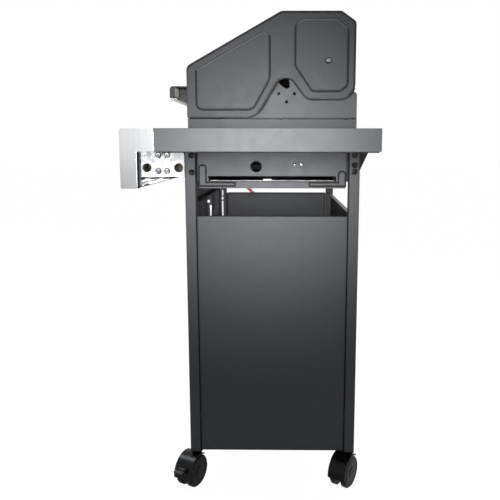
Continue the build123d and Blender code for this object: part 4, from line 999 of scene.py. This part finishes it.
# Strips by their distances from the cart's middle and their runs of height above the floor
DOOR_SHEET = 0.0012
STRIP_FRONT = -0.1946
STRIP_REAR = -0.1897
STRIP_RISE = 0.0005
FREE_EDGE_RUNS = [(0.105, 0.677)]
HINGE_EDGE_RUNS = [(0.105, 0.659), (0.664, 0.674), (0.679, 0.698)]
CATCH_FRONT = -0.2015
CATCH_REAR = -0.1945
CATCH_RUN = (0.685, 0.693)
CATCH_RISE = 0.0008

door_low, door_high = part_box("door_right")
for side, side_name in SIDE_NAMES.items():
    gap_lights = Shape()
    free_edge = seat_at((side * (door_low[0] + DOOR_SHEET), CART_Y, 0), (side, 0, 0), (0, 1, 0))
    hinge_edge = seat_at((side * (door_high[0] - DOOR_SHEET), CART_Y, 0), (-side, 0, 0), (0, 1, 0))
    for low, high in FREE_EDGE_RUNS:
        gap_lights.prism(rectangle((STRIP_FRONT, side * low), (STRIP_REAR, side * high)), free_edge, STRIP_RISE)
    low, high = CATCH_RUN
    gap_lights.prism(rectangle((CATCH_FRONT, side * low), (CATCH_REAR, side * high)), free_edge, CATCH_RISE)
    for low, high in HINGE_EDGE_RUNS:
        strip = rectangle((STRIP_FRONT, -side * low), (STRIP_REAR, -side * high))
        gap_lights.prism(strip, hinge_edge, STRIP_RISE)
    gap_lights.build(f"door_strips_{side_name}", f"door_{side_name}", "gap_light")


# Camera, solved from the photo's straight edges


CAMERA_PLACE = (1.60413, 0.026525 + CART_Y, 0.84612)
CAMERA_TURN = (82.2876, -0.0703, 90.5265)

camera = bpy.data.objects.new("camera", bpy.data.cameras.new("camera"))
turn = Euler([math.radians(angle) for angle in CAMERA_TURN])
camera.matrix_world = Matrix.Translation(CAMERA_PLACE) @ turn.to_matrix().to_4x4()
camera.data.sensor_width = 36.0
camera.data.lens = 38.535
camera.data.shift_x = -0.05716
camera.data.shift_y = -0.05804
scene.collection.objects.link(camera)
scene.camera = camera


# Floor and background, white to the camera and a plain light to the object


FLOOR_SIZE = 60
FLOOR_COLOUR = (0.86, 0.86, 0.86)
FLOOR_GLOW = 1.15
GLOW_FOR_ALL_SEEN = 0.35
GLOW_FOR_CAMERA = 0.5
WORLD_LIGHT = 0.15
WORLD_SEEN = 1.0


def seen_rays(tree):
    """One for rays from the camera, from gloss and from glass."""
    path = node(tree, "ShaderNodeLightPath")
    gloss = node(tree, "ShaderNodeMath", operation="MAXIMUM")
    tree.links.new(path.outputs["Is Camera Ray"], gloss.inputs[0])
    tree.links.new(path.outputs["Is Glossy Ray"], gloss.inputs[1])
    both = node(tree, "ShaderNodeMath", operation="MAXIMUM")
    tree.links.new(gloss.outputs["Value"], both.inputs[0])
    tree.links.new(path.outputs["Is Transmission Ray"], both.inputs[1])
    return both.outputs["Value"]


def floor_material():
    """Pale floor that takes shadows, with some glow of its own in the rays that are seen."""
    material, tree, shader = new_material("floor_white", FLOOR_COLOUR, roughness=0.9, specular=0.0)
    glow = node(tree, "ShaderNodeEmission")
    glow.inputs["Strength"].default_value = FLOOR_GLOW
    seen = node(tree, "ShaderNodeMath", operation="MULTIPLY")
    seen.inputs[1].default_value = GLOW_FOR_ALL_SEEN
    tree.links.new(seen_rays(tree), seen.inputs[0])
    share = node(tree, "ShaderNodeMath", operation="MULTIPLY_ADD")
    share.inputs[1].default_value = GLOW_FOR_CAMERA
    tree.links.new(node(tree, "ShaderNodeLightPath").outputs["Is Camera Ray"], share.inputs[0])
    tree.links.new(seen.outputs["Value"], share.inputs[2])
    blend = node(tree, "ShaderNodeMixShader")
    tree.links.new(share.outputs["Value"], blend.inputs["Fac"])
    tree.links.new(shader.outputs["BSDF"], blend.inputs[1])
    tree.links.new(glow.outputs["Emission"], blend.inputs[2])
    tree.links.new(blend.outputs["Shader"], tree.nodes["Material Output"].inputs["Surface"])
    return material


bpy.ops.mesh.primitive_plane_add(size=FLOOR_SIZE, location=(0, 0, 0))
floor = bpy.context.object
floor.name = "floor"
floor.data.materials.append(floor_material())

world = bpy.data.worlds.new("studio")
world.use_nodes = True
scene.world = world
background = world.node_tree.nodes["Background"]
background.inputs["Color"].default_value = (*WHITE, 1)
level = node(world.node_tree, "ShaderNodeMapRange")
level.inputs["To Min"].default_value = WORLD_LIGHT
level.inputs["To Max"].default_value = WORLD_SEEN
world.node_tree.links.new(seen_rays(world.node_tree), level.inputs["Value"])
world.node_tree.links.new(level.outputs["Result"], background.inputs["Strength"])


# Lamps


def lamp(name, place, target, size, power, spread, tint=WHITE):
    """Area lamp aimed at a point; the power is in watts and the spread in degrees."""
    light = bpy.data.lights.new(name, "AREA")
    light.shape = "RECTANGLE"
    light.size, light.size_y = size
    light.energy = power
    light.color = tint
    light.spread = math.radians(spread)
    holder = bpy.data.objects.new(name, light)
    holder.location = place
    aim = Vector(target) - Vector(place)
    holder.rotation_euler = aim.to_track_quat("-Z", "Y").to_euler()
    scene.collection.objects.link(holder)


lamp("key", (1.65, 0.0, 0.88), target=(0.35, 0.01, 0.825), size=(0.3, 0.3), power=1.85, spread=38)
lamp("top", (0.9, -0.7, 2.4), target=(0.3, 0.0, 1.0), size=(0.8, 0.8), power=1.2, spread=90)
lamp("front", (-0.07, -0.95, 1.45), target=(0.2, -0.17, 0.2), size=(0.4, 0.6), power=5, spread=120,
     tint=(0.78, 0.89, 1.0))
lamp("rear", (-1.5, 1.7, 1.7), target=(0.0, 0.05, 0.6), size=(1.0, 1.0), power=45, spread=140)

scene.view_settings.view_transform = "Standard"
